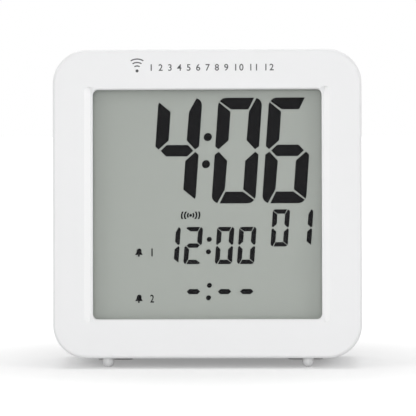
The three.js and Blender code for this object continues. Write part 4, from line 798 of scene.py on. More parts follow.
def solder_mask(name, colour, light):
    """Green lacquer over copper and glass fibre, glossy, with the weave just showing."""
    inputs = {"Coat Weight": 0.4}
    return uneven(name, (colour, light), (120, 3), (0.28, 0.42), (1800, 1), 0.000008, inputs=inputs)


def metal(name, colour, roughness):
    """Bare or plated metal with fine marks, and a gloss that is worn unevenly."""
    colours, gloss = (shaded(colour, 0.88), colour), about(roughness, 0.16)
    return uneven(name, colours, (150, 2), gloss, (1500, 5), 0.000003, True, {"Metallic": 1.0})


def sweep(tree, given, path, section):
    """Runs a section along a path, with closed ends."""
    swept = grow(tree, "CurveToMesh", Curve=path, Profile_Curve=section, Fill_Caps=True)
    return close_tree(tree, given, swept)


def joined_paths(paths):
    """Vertices and edges of several open paths."""
    verts, edges = [], []
    for path in paths:
        start = len(verts)
        verts += path
        edges += [(start + i, start + i + 1) for i in range(len(path) - 1)]
    return verts, edges


def blocks(name, seats, length, height, width):
    """A small block on every seat, centred on it."""
    return grown(name, block_tree, seats, Length=length, Height=height, Width=width)


def moved(made, base, direction):
    """Sets a piece down at base, with its own Z along the direction."""
    made.data.transform(Matrix.Translation(base) @ UP.rotation_difference(direction).to_matrix().to_4x4())
    return made


def lay_tracks(name, paths):
    tracks = grown(name, copper_tree, *joined_paths(paths), Width=TRACK_WIDTH, Thickness=TRACK_THICKNESS)
    place(tracks, track_green, "circuit_board")


def tin(made, width, segments=1):
    """Places solder or tinned wire with its edges rounded."""
    place(soften(made, width, segments), tinned, "steel")


def solder_points(name, seats, radius, height, edge):
    tin(grown(name, solder_tree, seats, Radius=radius, Height=height), edge, 3)


def mount_parts(name, seats):
    """Small black parts with tinned ends, centred on their seats."""
    ends = [(x + side * PART_LENGTH / 2, y, z) for x, y, z in seats for side in (-1, 1)]
    size = PART_LENGTH, PART_HEIGHT * PART_WAIST, PART_WIDTH * PART_WAIST
    place(soften(blocks(name, seats, *size), SHEET_EDGE, 1), part_black, "black_plastic")
    tin(blocks(f"{name}_ends", ends, PART_END, PART_HEIGHT, PART_WIDTH), MOULD_EDGE, 2)


block_tree, given = new_tree("board_blocks", "Length", "Height", "Width")
size = vector(block_tree, X=given["Length"], Y=given["Height"], Z=given["Width"])
on_seats(block_tree, given, grow(block_tree, "MeshCube", Size=size))
copper_tree, given = new_tree("tracks", "Width", "Thickness")
path = grow(copper_tree, "MeshToCurve", Mesh=given["Seats"])
strip = grow(copper_tree, "CurvePrimitiveQuadrilateral", Width=given["Thickness"], Height=given["Width"])
sweep(copper_tree, given, path, strip)
solder_tree = round_seat_tree("solder_points", SOLDER_SIDES)
mask_green = solder_mask("solder_mask", (0.035, 0.15, 0.07), (0.05, 0.2, 0.09))
track_green = solder_mask("masked_copper", (0.1, 0.3, 0.13), (0.13, 0.36, 0.16))
tinned = metal("solder_tin", (0.72, 0.73, 0.74), 0.3)
part_black = moulded_plastic("part_epoxy", (0.03, 0.03, 0.032), 0.45, 2500, 0.000004)
for board in ("main_board", "receiver_board", "snooze_board", "key_board"):
    dressed(board, mask_green, "circuit_board", BOARD_EDGE, 1)

blob = measured("chip_blob")
routes = []
for side, reach_z in ((1, main_board.high.z - FAN_MARGIN), (-1, main_board.low.z + FAN_MARGIN)):
    for i in range(-FAN_REACH, FAN_REACH + 1):
        start_x, end_x = blob.mid.x + i * TRACK_PITCH * FAN_START, i * TRACK_PITCH * FAN_END
        first_z = blob.mid.z + side * (FAN_FIRST + (FAN_REACH - abs(i)) * FAN_STAGGER)
        last_z = first_z + side * (FAN_STEP + abs(end_x - start_x) * FAN_FALL)
        start = [(start_x, first_z), (start_x, first_z + side * FAN_STUB)]
        if abs(last_z) < abs(reach_z):
            points = [*start, (end_x, last_z), (end_x, reach_z)]
            routes.append([(x, main_board.high.y, z) for x, z in points])
lay_tracks("main_board_tracks", routes)
y = main_board.high.y + PART_HEIGHT / 2
seats = grid(*PARTS_LEFT, y, 4, 5, *PARTS_LEFT_PITCH) + grid(*PARTS_RIGHT, y, 4, 3, *PARTS_RIGHT_PITCH)
mount_parts("main_board_parts", seats)
places = [(x, POINTS_Z, main_board.high.y) for x in (POINTS_LEFT, POINTS_RIGHT)]
seats = [seat for spot in places for seat in grid(*spot, 2, 3, *POINTS_PITCH)]
solder_points("main_board_solder", seats, *SOLDER_TALL)
strip = measured("zebra_strip_top")
x, y = strip.low.x + PAD_PITCH / 2, main_board.low.y - PAD_THICKNESS / 4
pads = int(strip.size.x / PAD_PITCH)
seats = grid(x, -strip.mid.z, y, pads, 2, PAD_PITCH, 2 * strip.mid.z)
gold = metal("contact_gold", (0.83, 0.62, 0.28), 0.3)
place(blocks("display_pads", seats, PAD_WIDTH, PAD_THICKNESS, PAD_LENGTH), gold, "brass_disc")

receiver = measured("receiver_board")
x, y = receiver.low.x + RECEIVER_IN, receiver.high.y + PART_HEIGHT / 2
seats = grid(x, receiver.high.z - RECEIVER_TOP, y, 4, 1, RECEIVER_PITCH)
seats += grid(x, receiver.low.z + RECEIVER_TOP, y, 2, 1, RECEIVER_PITCH)
mount_parts("receiver_parts", seats)
x, y, z = receiver.mid.x + CHIP_X, receiver.high.y, receiver.mid.z - CHIP_Z
chip = about(x, RECEIVER_CHIP[0]), (y + CHIP_BASE, y + CHIP_TOP), about(z, RECEIVER_CHIP[1])
chip = block("receiver_chip", *chip)
mark = Vector((x - CHIP_MARK_X, y + CHIP_TOP - CHIP_MARK_DEPTH, z + CHIP_MARK_Z))
carve(chip, turned("mark", [(CHIP_MARK, 0), (CHIP_MARK, 0.4)], mark, BACKWARD, MARK_STEPS))
place(soften(chip), part_black, "black_plastic")
x, z = about(x, CHIP_LEG_PITCH[0] * (CHIP_LEGS - 1))[0], about(z, CHIP_LEG_PITCH[1])[0]
seats = grid(x, z, y + CHIP_LEG[1] / 2, CHIP_LEGS, 2, *CHIP_LEG_PITCH)
tin(blocks("receiver_chip_legs", seats, *CHIP_LEG), LEG_EDGE)

key_board, snooze_board = measured("key_board"), measured("snooze_board")
routes = []
for i in range(FAN_REACH):
    x = key_board.low.x + KEY_TRACK_IN + i * TRACK_PITCH
    z = key_board.high.z - KEY_TRACK_TOP - i * KEY_TRACK_FALL
    points = [(x, key_board.high.z - KEY_TRACK_LOW), (x, z - KEY_TRACK_CUT)]
    points += [(x + KEY_TRACK_CUT, z), (KEY_TRACK_END - i * KEY_TRACK_SHORT, z)]
    routes.append([(px, key_board.low.y, pz) for px, pz in points])
lay_tracks("key_board_tracks", routes)
y, z = key_board.low.y - PART_HEIGHT / 2, key_board.high.z - KEY_PARTS_TOP
mount_parts("key_board_parts", grid(KEY_PARTS_X, z, y, 4, 1, KEY_PARTS_PITCH))
places = [(side * x, y) for side in (-1, 1) for x in SNOOZE_POINTS_X for y in SNOOZE_POINTS_Y]
seats = [(x, 0, snooze_board.mid.y + y) for x, y in places]
radius, height = SOLDER_LOW
made = grown("snooze_board_solder", solder_tree, seats, Radius=radius, Height=height)
tin(moved(made, UP * snooze_board.high.z, BACKWARD), SOLDER_EDGE, 2)

# Chip and clock crystal on the main board: the chip lies under a drop of black epoxy, and
# the crystal is a small steel can that lies along the board on two bent wires.
BLOB_RADIUS, BLOB_FOOT, BLOB_STEPS = 7.0, 0.15, 14
THREE_LOBES, FIVE_LOBES, LOBE_TURN = 0.02, 0.012, 0.6
CRYSTAL_WIRE, WIRE_SIDES, WIRE_SPREAD, WIRE_END, CAN_STEPS = 0.2, 8, 0.4, 1.7, 40
CAN_FOOT = [(0.8, 0), (0.95, 0.12), (1.0, 0.4)]
CAN_GROOVE = [(1.0, 0.7), (0.93, 0.6), (0.93, 0.45), (1.0, 0.35), (1.0, 0)]
CAN_LEGS = [(0, -0.3), (0, 0.9), (-0.5, 1.5)]

rise = (blob.size.y - BLOB_FOOT) / BLOB_RADIUS
bends = quarter(BLOB_RADIUS, BLOB_STEPS)[:-1]
dome = [(BLOB_RADIUS - x, BLOB_FOOT + rise * (BLOB_RADIUS - z)) for x, z in bends]
base = face_of(blob, FORWARD)
drop = turned("chip_dome", [(BLOB_RADIUS, 0), *dome], base, BACKWARD, BROAD_STEPS)
for vertex in drop.data.vertices:
    spot = vertex.co - base
    angle = math.atan2(spot.z, spot.x)
    swell = 1 - THREE_LOBES * (1 + math.sin(3 * angle + LOBE_TURN)) - FIVE_LOBES * (1 + math.sin(5 * angle))
    vertex.co = base + Vector((spot.x * swell, spot.y, spot.z * swell))
epoxy = moulded_plastic("drop_epoxy", (0.014, 0.014, 0.016), 0.22, 600, 0.00001)
place(drop, epoxy, "epoxy", "chip_blob")

wire_tree, given = new_tree("round_wire", "Radius")
path = grow(wire_tree, "MeshToCurve", Mesh=given["Seats"])
ring = grow(wire_tree, "CurvePrimitiveCircle", Resolution=WIRE_SIDES, Radius=given["Radius"])
sweep(wire_tree, given, path, ring)
nickel = metal("nickel_plate", (0.66, 0.66, 0.65), 0.28)
room = measured("clock_crystal")
radius, length = room.size.x / 2, room.size.z
can = [(radius * share, z) for share, z in CAN_FOOT]
can += [(radius * share, length - z) for share, z in CAN_GROOVE]
crystal = turned("crystal_can", can, face_of(room, DOWN), UP, CAN_STEPS)
place(soften(crystal, SHEET_EDGE), nickel, "steel", "clock_crystal")
bends = [(room.mid.y + y, room.high.z + z) for y, z in CAN_LEGS]
bends.append((main_board.high.y, room.high.z + WIRE_END))
legs = [[(room.mid.x + side * radius * WIRE_SPREAD, y, z) for y, z in bends] for side in (-1, 1)]
place(grown("crystal_wires", wire_tree, *joined_paths(legs), Radius=CRYSTAL_WIRE), tinned, "steel")

# Radio antenna: a dark ferrite rod in two snap-in clips on the main board, wound with
# one layer of enamelled copper wire over a thin sleeve.
COIL_WIRE, COIL_STEPS, ROD_CHAMFER, ROD_STEPS = 0.27, 28, 0.5, 64
SLEEVE_LAP, CLIP_EDGE = 0.1, 0.3


def wound(name, base, direction, turns, first, last, height, wire_radius):
    """A coil that starts at base and climbs in the direction given."""
    sizes = {"First": first, "Last": last, "Height": height, "Wire": wire_radius}
    return moved(grown(name, winding_tree, [(0, 0, 0)], Turns=float(turns), **sizes), base, direction)


def tube(name, outer, inner, length, base, direction, steps=ROUND_STEPS):
    walls = [(outer, 0), (outer, length), (inner, length), (inner, 0)]
    return turned(name, walls, base, direction, steps, looped=True)


winding_tree, given = new_tree("coil", "Turns", "First", "Last", "Height", "Wire")
line = grow(
    winding_tree, "CurveSpiral", Resolution=COIL_STEPS, Rotations=given["Turns"],
    Start_Radius=given["First"], End_Radius=given["Last"], Height=given["Height"],
)
ring = grow(winding_tree, "CurvePrimitiveCircle", Resolution=WIRE_SIDES, Radius=given["Wire"])
sweep(winding_tree, given, line, ring)
rod, coil = measured("antenna_rod"), measured("antenna_coil")
radius, length, narrow = rod.size.z / 2, rod.size.x, rod.size.z / 2 - ROD_CHAMFER
profile = [(narrow, 0), (radius, ROD_CHAMFER), (radius, length - ROD_CHAMFER), (narrow, length)]
ferrite = moulded_plastic("sintered_ferrite", (0.045, 0.043, 0.045), 0.5, 1200, 0.00003, tint=0.2)
core = turned("ferrite_rod", profile, face_of(rod, -RIGHT), RIGHT, ROD_STEPS)
place(core, ferrite, "ferrite", "antenna_rod")

turns = int(coil.size.x / (2 * COIL_WIRE)) - 1
base = Vector((coil.low.x, rod.mid.y, rod.mid.z))
reach, length = coil.size.z / 2 - COIL_WIRE, coil.size.x - 2 * COIL_WIRE
winding = wound("antenna_winding", base + RIGHT * COIL_WIRE, RIGHT, turns, reach, reach, length, COIL_WIRE)
copper = metal("enamelled_copper", (0.72, 0.32, 0.13), 0.25)
place(winding, copper, "copper_winding", "antenna_coil")
outer = reach - COIL_WIRE + SLEEVE_LAP
sleeve = tube("winding_sleeve", outer, radius + FIT, coil.size.x, base, RIGHT)
paper = moulded_plastic("sleeve_film", (0.66, 0.58, 0.42), 0.6, 900, 0.00002, tint=0.06)
place(soften(sleeve, SHEET_EDGE), paper, "copper_winding")
for side in ("left", "right"):
    dressed(f"antenna_clip_{side}", inner_white, "inner_plastic", CLIP_EDGE)

# Snooze switch: a small push switch on its own board under the snooze bar, with four legs,
# a natural plastic stem that rides with the bar, and a steel coil spring at each side.
SPRING_WIRE, SPRING_TURNS, END_TURN, END_LAP, END_CLIMB = 0.25, 5, 0.97, 0.8, 0.4
LEG_SIZE, LEG_OUT, LEG_RISE, LEG_SPAN = (0.9, 0.7, 0.3), 0.25, 0.9, 4.5
FALL_SIZE, FALL_OUT, FALL_RISE, FALL_Y = (0.3, 0.7, 1.3), 0.55, 0.35, 24.0
STEM_END, STEM_FLAT, SWITCH_EDGE = [(0, 0.3), (0.1, 0.1), (0.35, 0)], 0.4, 0.25


def travel_of(joint):
    """How far a sliding joint moves, in millimetres."""
    return joints[joint]["range_m"][1] * 1000


def squash(made):
    """Gives a piece its own copy of its mesh."""
    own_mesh(made)


switch_black = moulded_plastic("switch_plastic", (0.03, 0.03, 0.033), 0.5, 2000, 0.00001)
dressed("snooze_switch_body", switch_black, "black_plastic", SWITCH_EDGE)
switch = measured("snooze_switch_body")
legs = []
for name, x, y, z, size in [
    ("snooze_switch_legs", LEG_OUT, switch.mid.y, LEG_RISE, LEG_SIZE),
    ("leg_falls", FALL_OUT, FALL_Y, FALL_RISE, FALL_SIZE),
]:
    places = [(side * (switch.high.x + x), at) for side in (-1, 1) for at in about(y, LEG_SPAN)]
    legs.append(blocks(name, [(x, y, switch.low.z + z) for x, y in places], *size))
tin(fuse(*legs), FINE_EDGE)

room = measured("snooze_switch_stem")
radius, height = room.size.x / 2, room.size.z
profile = [(radius, 0), *[(radius - inset, height - fall) for inset, fall in STEM_END]]
profile.append((STEM_FLAT, height))
natural = moulded_plastic("natural_nylon", (0.8, 0.76, 0.66), 0.45, 1800, 0.000008)
stem = turned("switch_stem", profile, face_of(room, DOWN), UP)
place(soften(stem, MOULD_EDGE), natural, "switch_stem", "snooze_switch_stem", body="snooze")

spring_steel = metal("spring_steel", (0.6, 0.6, 0.6), 0.25)
for side in ("left", "right"):
    name = f"snooze_spring_{side}"
    room = measured(name)
    foot = Vector((room.mid.x, room.mid.y, snooze_board.high.z))
    base = foot + UP * 2 * SPRING_WIRE
    reach, height = room.size.x / 2 - SPRING_WIRE, room.high.z - SPRING_WIRE - base.z
    spring = wound(f"{name}_wire", base, UP, SPRING_TURNS, reach, reach, height, SPRING_WIRE)
    for end in (base - UP * SPRING_WIRE * END_LAP, base + UP * height):
        climb = SPRING_WIRE * END_CLIMB
        fuse(spring, wound("end_turn", end, UP, END_TURN, reach, reach, climb, SPRING_WIRE))
    place(spring, spring_steel, "steel", name)
    squash(spring)

# Rear case: a deep white moulding with a fine spark-eroded texture and rounded back edges.
# A lip enters the front case, four bosses take the case screws, and walls inside carry the
# battery bay, the rails of the snooze board, the posts of the key board and the buzzer.
SEAM_Y, BACK_INNER, BACK_EDGE_RADIUS, BACK_FILLET = 12.3, BODY_DEPTH - WALL, 2.0, 0.5
LIP_REACH, LIP_INSETS, LIP_DEPTH = 1.2, (1.4, 2.1, 3.1), 3.0
LIP_ROUND, LIP_STEPS = 0.2, 4
REAR_BOSS_RADIUS, HEAD_HOLE_RADIUS, HEAD_HOLE_ROUND = 3.4, 2.35, 0.35
SLIDE_FIT = 0.35
BAY_X, BAY_LOW, BAY_HIGH, BAY_Y, BAY_WALL, BAY_CORNER = 26.75, -32.35, -7.65, 21.4, 1.2, 0.7
TAIL_SLOT, TAIL_SLOT_WIDTH, TAIL_SLOT_DEPTH = 2.6, 1.0, 2.2
TAB_X, TAB_ROOM, TAB_FRONT, TAB_LOW = 15.0, 6.7, 31.76, -34.15
THUMB_ROOM, THUMB_Z = (8.7, 4.4, 1.2), -9.1
RAIL_X, RAIL_WIDTH, RAIL_FRONT, RAIL_Z, RAIL_HEIGHT = 22.8, 2.7, 17.5, 30.0, 4.2
RAIL_GROOVE = 0.15
KEY_PITCH, KEY_Z, KEY_COUNT = 11.5, 7.0, 5
KEY_HOLE, KEY_POST_RADIUS = (8.7, 5.3, 1.6), 1.9
SLOT_LOW, SLOT_HIGH, SLOT_Z, SLOT_HEIGHT, SLOT_CORNER = 16.4, 25.1, 19.0, 3.7, 0.5
BAR_WIDTH, BAR_DEPTH, BAR_CORNER = 40.0, 11.0, 1.0
BUZZER_WALL = 1.0
SOUND_HOLE_RADIUS, SOUND_RING, SOUND_HOLES = 0.8, 3.2, 6
FOOT_DEPTH, FOOT_SIZE, FOOT_X, FOOT_Y = 0.9, (10.6, 7.6, 0.8), 27, 29.5


def depth_plate(name, width, height, radius, ys, x=0.0, z=0.0):
    """A rounded rectangle seen from the front, from one depth to another."""
    return hull(name, [outline(width, height, radius, y, x, z) for y in ys])


def body_plate(name, inset, *ys):
    return hull(name, [body_ring(inset, y) for y in ys])


def flare(level, radius=LIP_ROUND):
    """How far a cutter opens on its way out through a surface, to leave a rounded edge."""
    return [*[(out, level - fall) for out, fall in quarter(radius, LIP_STEPS)], (radius, level + PAST)]


def back_opening(name, width, height, radius, y, x=0.0, z=0.0):
    """A cutter for a rounded opening in the back wall, from depth y outwards."""
    levels = [(0, y), *flare(BODY_DEPTH)]
    return hull(name, [outline(width, height, radius, level, x, z, out) for out, level in levels])


def level_ring(width, depth, radius, z, y, grow=0.0, x=0.0):
    """Points of a rounded rectangle seen from above, at height z."""
    return [Vector((spot.x, spot.z, z)) for spot in outline(width, depth, radius, 0, x, y, grow)]


textured = moulded_plastic("textured_white", (0.82, 0.825, 0.835), 0.55, 3400, 0.00003)
back_edge = [body_ring(inset, BODY_DEPTH - fall) for inset, fall in quarter(BACK_EDGE_RADIUS)]
rear_shell = hull("rear_shell", [body_ring(0, SEAM_Y), *back_edge])
cavity = [(0, SEAM_Y - PAST), (0, BACK_INNER - BACK_FILLET), (BACK_FILLET, BACK_INNER)]
carve(rear_shell, hull("cavity", [body_ring(WALL + inset, y) for inset, y in cavity]))
lip_front, lip_back, into_back = SEAM_Y - LIP_REACH - FIT, SEAM_Y + LIP_DEPTH, BACK_INNER + BITE
lip = body_plate("lip", LIP_INSETS[0], SEAM_Y, lip_back)
fuse(lip, body_plate("collar", LIP_INSETS[1], lip_front, SEAM_Y + BITE))
carve(lip, body_plate("passage", LIP_INSETS[2], lip_front - PAST, lip_back + PAST))
fuse(rear_shell, lip)
well = [(0, 0), *flare(BODY_DEPTH - CASE_SCREW_SEAT, HEAD_HOLE_ROUND)]
well = [(HEAD_HOLE_RADIUS + out, level) for out, level in well]
for corner in CORNERS:
    x, _, z = measured(f"case_screw_{corner}").mid
    carve(rear_shell, rod_back("room", BOSS_RADIUS + FIT, x, z, lip_front - PAST, SEAM_Y))
    fuse(rear_shell, rod_back("boss", REAR_BOSS_RADIUS, x, z, SEAM_Y, into_back))
    carve(rear_shell, rod_back("hole", PILOT_RADIUS, x, z, SEAM_Y - PAST, CASE_SCREW_SEAT + PAST))
    carve(rear_shell, turned("well", well, Vector((x, CASE_SCREW_SEAT, z)), BACKWARD))

fuse(rear_shell, block("bay", (-BAY_X, BAY_X), (BAY_Y, into_back), (BAY_LOW, BAY_HIGH)))
for side, end in ((-1, "left"), (1, "right")):
    wall = sorted((side * RAIL_X, side * (RAIL_X + RAIL_WIDTH)))
    gap = sorted((side * (RAIL_X - PAST), side * (RAIL_X + RAIL_WIDTH / 2 + RAIL_GROOVE)))
    gap_z = snooze_board.low.z - FIT, snooze_board.high.z + FIT
    rail = block("rail", wall, (RAIL_FRONT, into_back), (RAIL_Z, RAIL_Z + RAIL_HEIGHT))
    carve(rail, block("groove", gap, (RAIL_FRONT - PAST, snooze_board.high.y + FIT), gap_z))
    fuse(rear_shell, rail)
    x, _, z = measured(f"key_board_screw_{end}").mid
    fuse(rear_shell, rod_back("post", KEY_POST_RADIUS, x, z, key_board.high.y + FIT, into_back))
    carve(rear_shell, rod_back("pilot", PILOT_RADIUS, x, z, key_board.low.y - PAST, BACK_INNER))
brass_disc = measured("buzzer_disc")
bore, seat = brass_disc.size.x / 2 + FIT, face_of(brass_disc, FORWARD)
fuse(rear_shell, tube("ring", bore + BUZZER_WALL, bore, into_back - seat.y, seat, BACKWARD))

upper, lower = measured("battery_upper"), measured("battery_lower")
snooze_y, case_top = measured("snooze_button").mid.y, CASE_WIDTH / 2
room_x, room_low, room_high = BAY_X - BAY_WALL, BAY_LOW + BAY_WALL, BAY_HIGH - BAY_WALL
room_size = 2 * room_x, room_high - room_low, BAY_CORNER
cuts = [back_opening("room", *room_size, BAY_Y + BAY_WALL, 0, (room_low + room_high) / 2)]
slot = about(room_x - TAIL_SLOT_WIDTH / 2, TAIL_SLOT_WIDTH), (BAY_Y - PAST, BAY_Y + TAIL_SLOT_DEPTH)
cuts += [block("tail_slot", *slot, about(cell.mid.z, TAIL_SLOT)) for cell in (upper, lower)]
for side in (-1, 1):
    depth, height = (TAB_FRONT, BACK_INNER), (TAB_LOW, room_low + PAST)
    cuts.append(block("tab_room", about(side * TAB_X, TAB_ROOM), depth, height))
    levels = -case_top - PAST, -case_top + FOOT_DEPTH
    cuts.append(hull("foot_recess", [level_ring(*FOOT_SIZE, z, FOOT_Y, x=side * FOOT_X) for z in levels]))
cuts.append(back_opening("thumb_room", *THUMB_ROOM, BACK_INNER, 0, THUMB_Z))
key_x = [(i - (KEY_COUNT - 1) / 2) * KEY_PITCH for i in range(KEY_COUNT)]
cuts += [back_opening("key_hole", *KEY_HOLE, BACK_INNER - PAST, x, KEY_Z) for x in key_x]
slot = SLOT_HIGH - SLOT_LOW, SLOT_HEIGHT, SLOT_CORNER
cuts.append(back_opening("slot", *slot, BACK_INNER - PAST, (SLOT_LOW + SLOT_HIGH) / 2, SLOT_Z))
bar_hole = BAR_WIDTH + 2 * SLIDE_FIT, BAR_DEPTH + 2 * SLIDE_FIT, BAR_CORNER + SLIDE_FIT
levels = [(0, case_top - WALL - PAST), *flare(case_top)]
cuts.append(hull("bar_opening", [level_ring(*bar_hole, z, snooze_y, out) for out, z in levels]))

peg_tree, given = new_tree("ring_of_pegs", "Radius", "Mouth", "Ring", "Height")
ends = {"Radius_Bottom": given["Radius"], "Radius_Top": given["Mouth"], "Depth": given["Height"]}
peg = laid(peg_tree, grow(peg_tree, "MeshCone", Vertices=24, **ends), -math.pi / 2)
circle = laid(peg_tree, grow(peg_tree, "MeshCircle", Vertices=SOUND_HOLES, Radius=given["Ring"]))
both = grow(peg_tree, "JoinGeometry", Geometry=[instances(peg_tree, circle, peg), peg])
on_seats(peg_tree, given, both)
for name, y, inner, outer, height in [
    ("sound_holes", BODY_DEPTH - WALL / 2, 0, 0, 4.0),
    ("sound_mouths", BODY_DEPTH, -0.2, 0.6, 0.8),
]:
    size = {"Radius": SOUND_HOLE_RADIUS + inner, "Mouth": SOUND_HOLE_RADIUS + outer, "Height": height}
    cuts.append(grown(name, peg_tree, [(seat.x, y, seat.z)], Ring=SOUND_RING, **size))
carve(rear_shell, *cuts)
place(rear_shell, textured, "case_rear", "rear_case")

# Print on the back: plain signs over the five keys, and ON and OFF at the slide switch, in
# the same grey ink as the numbers in front.
SIGN_Z, SIGN_HEIGHT, SWITCH_SIGN_Z = 12.3, 1.6, 22.3
CLOCK_SIGN, CLOCK_LINE, CLOCK_GAP = 0.85, 0.2, 0.02
CLOCK_HANDS = [
    [(-0.09, -0.1), (0.09, -0.1), (0.09, 0.6), (-0.09, 0.6)],
    [(0, -0.1), (0.5, -0.1), (0.5, 0.08), (0, 0.08)],
]


def back_slab(polygon, x):
    """A printed sign that faces back, mirrored so that it reads from behind."""
    front = [Vector((x - px, BODY_DEPTH + PRINT_PROUD, SIGN_Z + pz)) for px, pz in polygon]
    return skin([front, [point - BACKWARD * PRINT_THICKNESS for point in front]])


dial = arc_band(CLOCK_SIGN, CLOCK_LINE, math.pi - CLOCK_GAP / 2, 2 * math.pi - CLOCK_GAP, 32)
signs = [back_slab(shape, key_x[4]) for shape in (dial, *CLOCK_HANDS)]
signs += [back_slab(shape, key_x[1]) for shape in bell(SIGN_HEIGHT)]
for text, x, z, width, height in [
    ("+", key_x[3], SIGN_Z, 1.3, 1.3),
    ("-", key_x[2], SIGN_Z, 1.3, 0.25),
    ("12/24", key_x[0], SIGN_Z, 4.6, SIGN_HEIGHT),
    ("OFF", 18.6, SWITCH_SIGN_Z, 3.1, 1.3),
    ("ON", 23.2, SWITCH_SIGN_Z, 2.3, 1.3),
]:
    signs.append(lettering(text, Vector((x, BODY_DEPTH, z)), width, height, BACKWARD))
place(raw_mesh("back_signs", *gather(signs)), grey_ink, "case_rear")

# Snooze and light bar: a white button the width of a hand's grasp in the top, crowned, with
# a flange that holds it under the wall, two guide pins, and fine ribs for the finger.
BAR_FLANGE, FLANGE_CORNER, FLANGE_FALL, FLANGE_HEIGHT = 1.35, 1.6, 3.5, 1.0
BAR_ROUND, BAR_CROWN, CROWN_STEPS, CROWN_FLAT = 0.9, 0.35, 6, 0.3
PIN_REACH, GUIDE_PIN_RADIUS, GUIDE_SPAN, PIN_TAPER, PIN_TIP = 5.2, 1.1, 32.0, 0.25, 0.4
RIB_COUNT, RIB_PITCH, RIB_LENGTH, RIB_RADIUS, RIB_SINK = 7, 1.6, 5.4, 0.3, 0.25


def grip_ribs(centre, count, pitch, length, radius):
    first = centre - RIGHT * ((count - 1) / 2 * pitch)
    sizes = {"Count": float(count), "Pitch": pitch, "Length": length, "Radius": radius}
    return soften(grown("grip_ribs", grip_tree, [tuple(first)], **sizes), radius * 0.5, 3)


grip_tree, given = new_tree("grip_ribs", "Count", "Pitch", "Length", "Radius")
rib = grow(grip_tree, "MeshCylinder", Vertices=16, Radius=given["Radius"], Depth=given["Length"])
row = grow(grip_tree, "MeshLine", Count=given["Count"], Offset=vector(grip_tree, X=given["Pitch"]))
on_seats(grip_tree, given, instances(grip_tree, row, laid(grip_tree, rib)))
room = measured("snooze_button")
crown, flange_low = room.high.z - BAR_CROWN, room.high.z - FLANGE_FALL
levels = [(0, flange_low), *[(inset, crown - fall) for inset, fall in quarter(BAR_ROUND)]]
for step in range(1, CROWN_STEPS):
    share = step / CROWN_STEPS
    inset = BAR_ROUND + share * (BAR_DEPTH / 2 - BAR_ROUND - CROWN_FLAT)
    levels.append((inset, room.high.z - BAR_CROWN * (1 - share) ** 2))
size = BAR_WIDTH, BAR_DEPTH, BAR_CORNER
bar = hull("snooze_bar", [level_ring(*size, z, snooze_y, -inset) for inset, z in levels])
size = BAR_WIDTH + 2 * BAR_FLANGE, BAR_DEPTH + 2 * BAR_FLANGE, FLANGE_CORNER
levels = flange_low, flange_low + FLANGE_HEIGHT
fuse(bar, hull("flange", [level_ring(*size, z, snooze_y) for z in levels]))
pin = [(GUIDE_PIN_RADIUS - PIN_TAPER, 0), (GUIDE_PIN_RADIUS, PIN_TIP)]
pin.append((GUIDE_PIN_RADIUS, PIN_REACH + BITE))
for x in about(0, GUIDE_SPAN):
    fuse(bar, turned("pin", pin, Vector((x, snooze_y, room.low.z)), UP, SMALL_STEPS))
ribs_z = room.high.z - BAR_CROWN * RIB_SINK - RIB_RADIUS
fuse(bar, grip_ribs(Vector((0, snooze_y, ribs_z)), RIB_COUNT, RIB_PITCH, RIB_LENGTH, RIB_RADIUS))
satin_white = moulded_plastic("satin_white", (0.82, 0.825, 0.835), 0.5, 2600, 0.00001, specular=0.4)
place(soften(bar, MOULD_EDGE), satin_white, "snooze", "snooze_button", body="snooze")

# Keys: five grey caps in the back over a grey silicone mat, whose hollow domes carry them.
# Each cap has a flange that holds it behind the wall, and the mat lies on the key board.
KEY_SIZE, KEY_ROUND, KEY_DISH = (8.0, 4.6, 1.6), 0.5, 0.12
KEY_FLANGE, KEY_FLANGE_CORNER, KEY_FLANGE_HEIGHT = 1.25, 0.5, 0.9
DOME_RADIUS, DOME_NECK, DOME_HEIGHT, MAT_CORNER = 1.9, 1.14, 1.2, 1.2
DOME_FOOT, DOME_TAPER, DOME_LAP = [(0.35, 0), (0.3, 0.52)], (0.08, 0.2), 0.02
DOME_TOP = [(0.3, 0.45), (0.05, 0.15), (-0.1, 0), (-0.684, 0)]
DISH_SHARES = 0.3, 0.6, 0.85

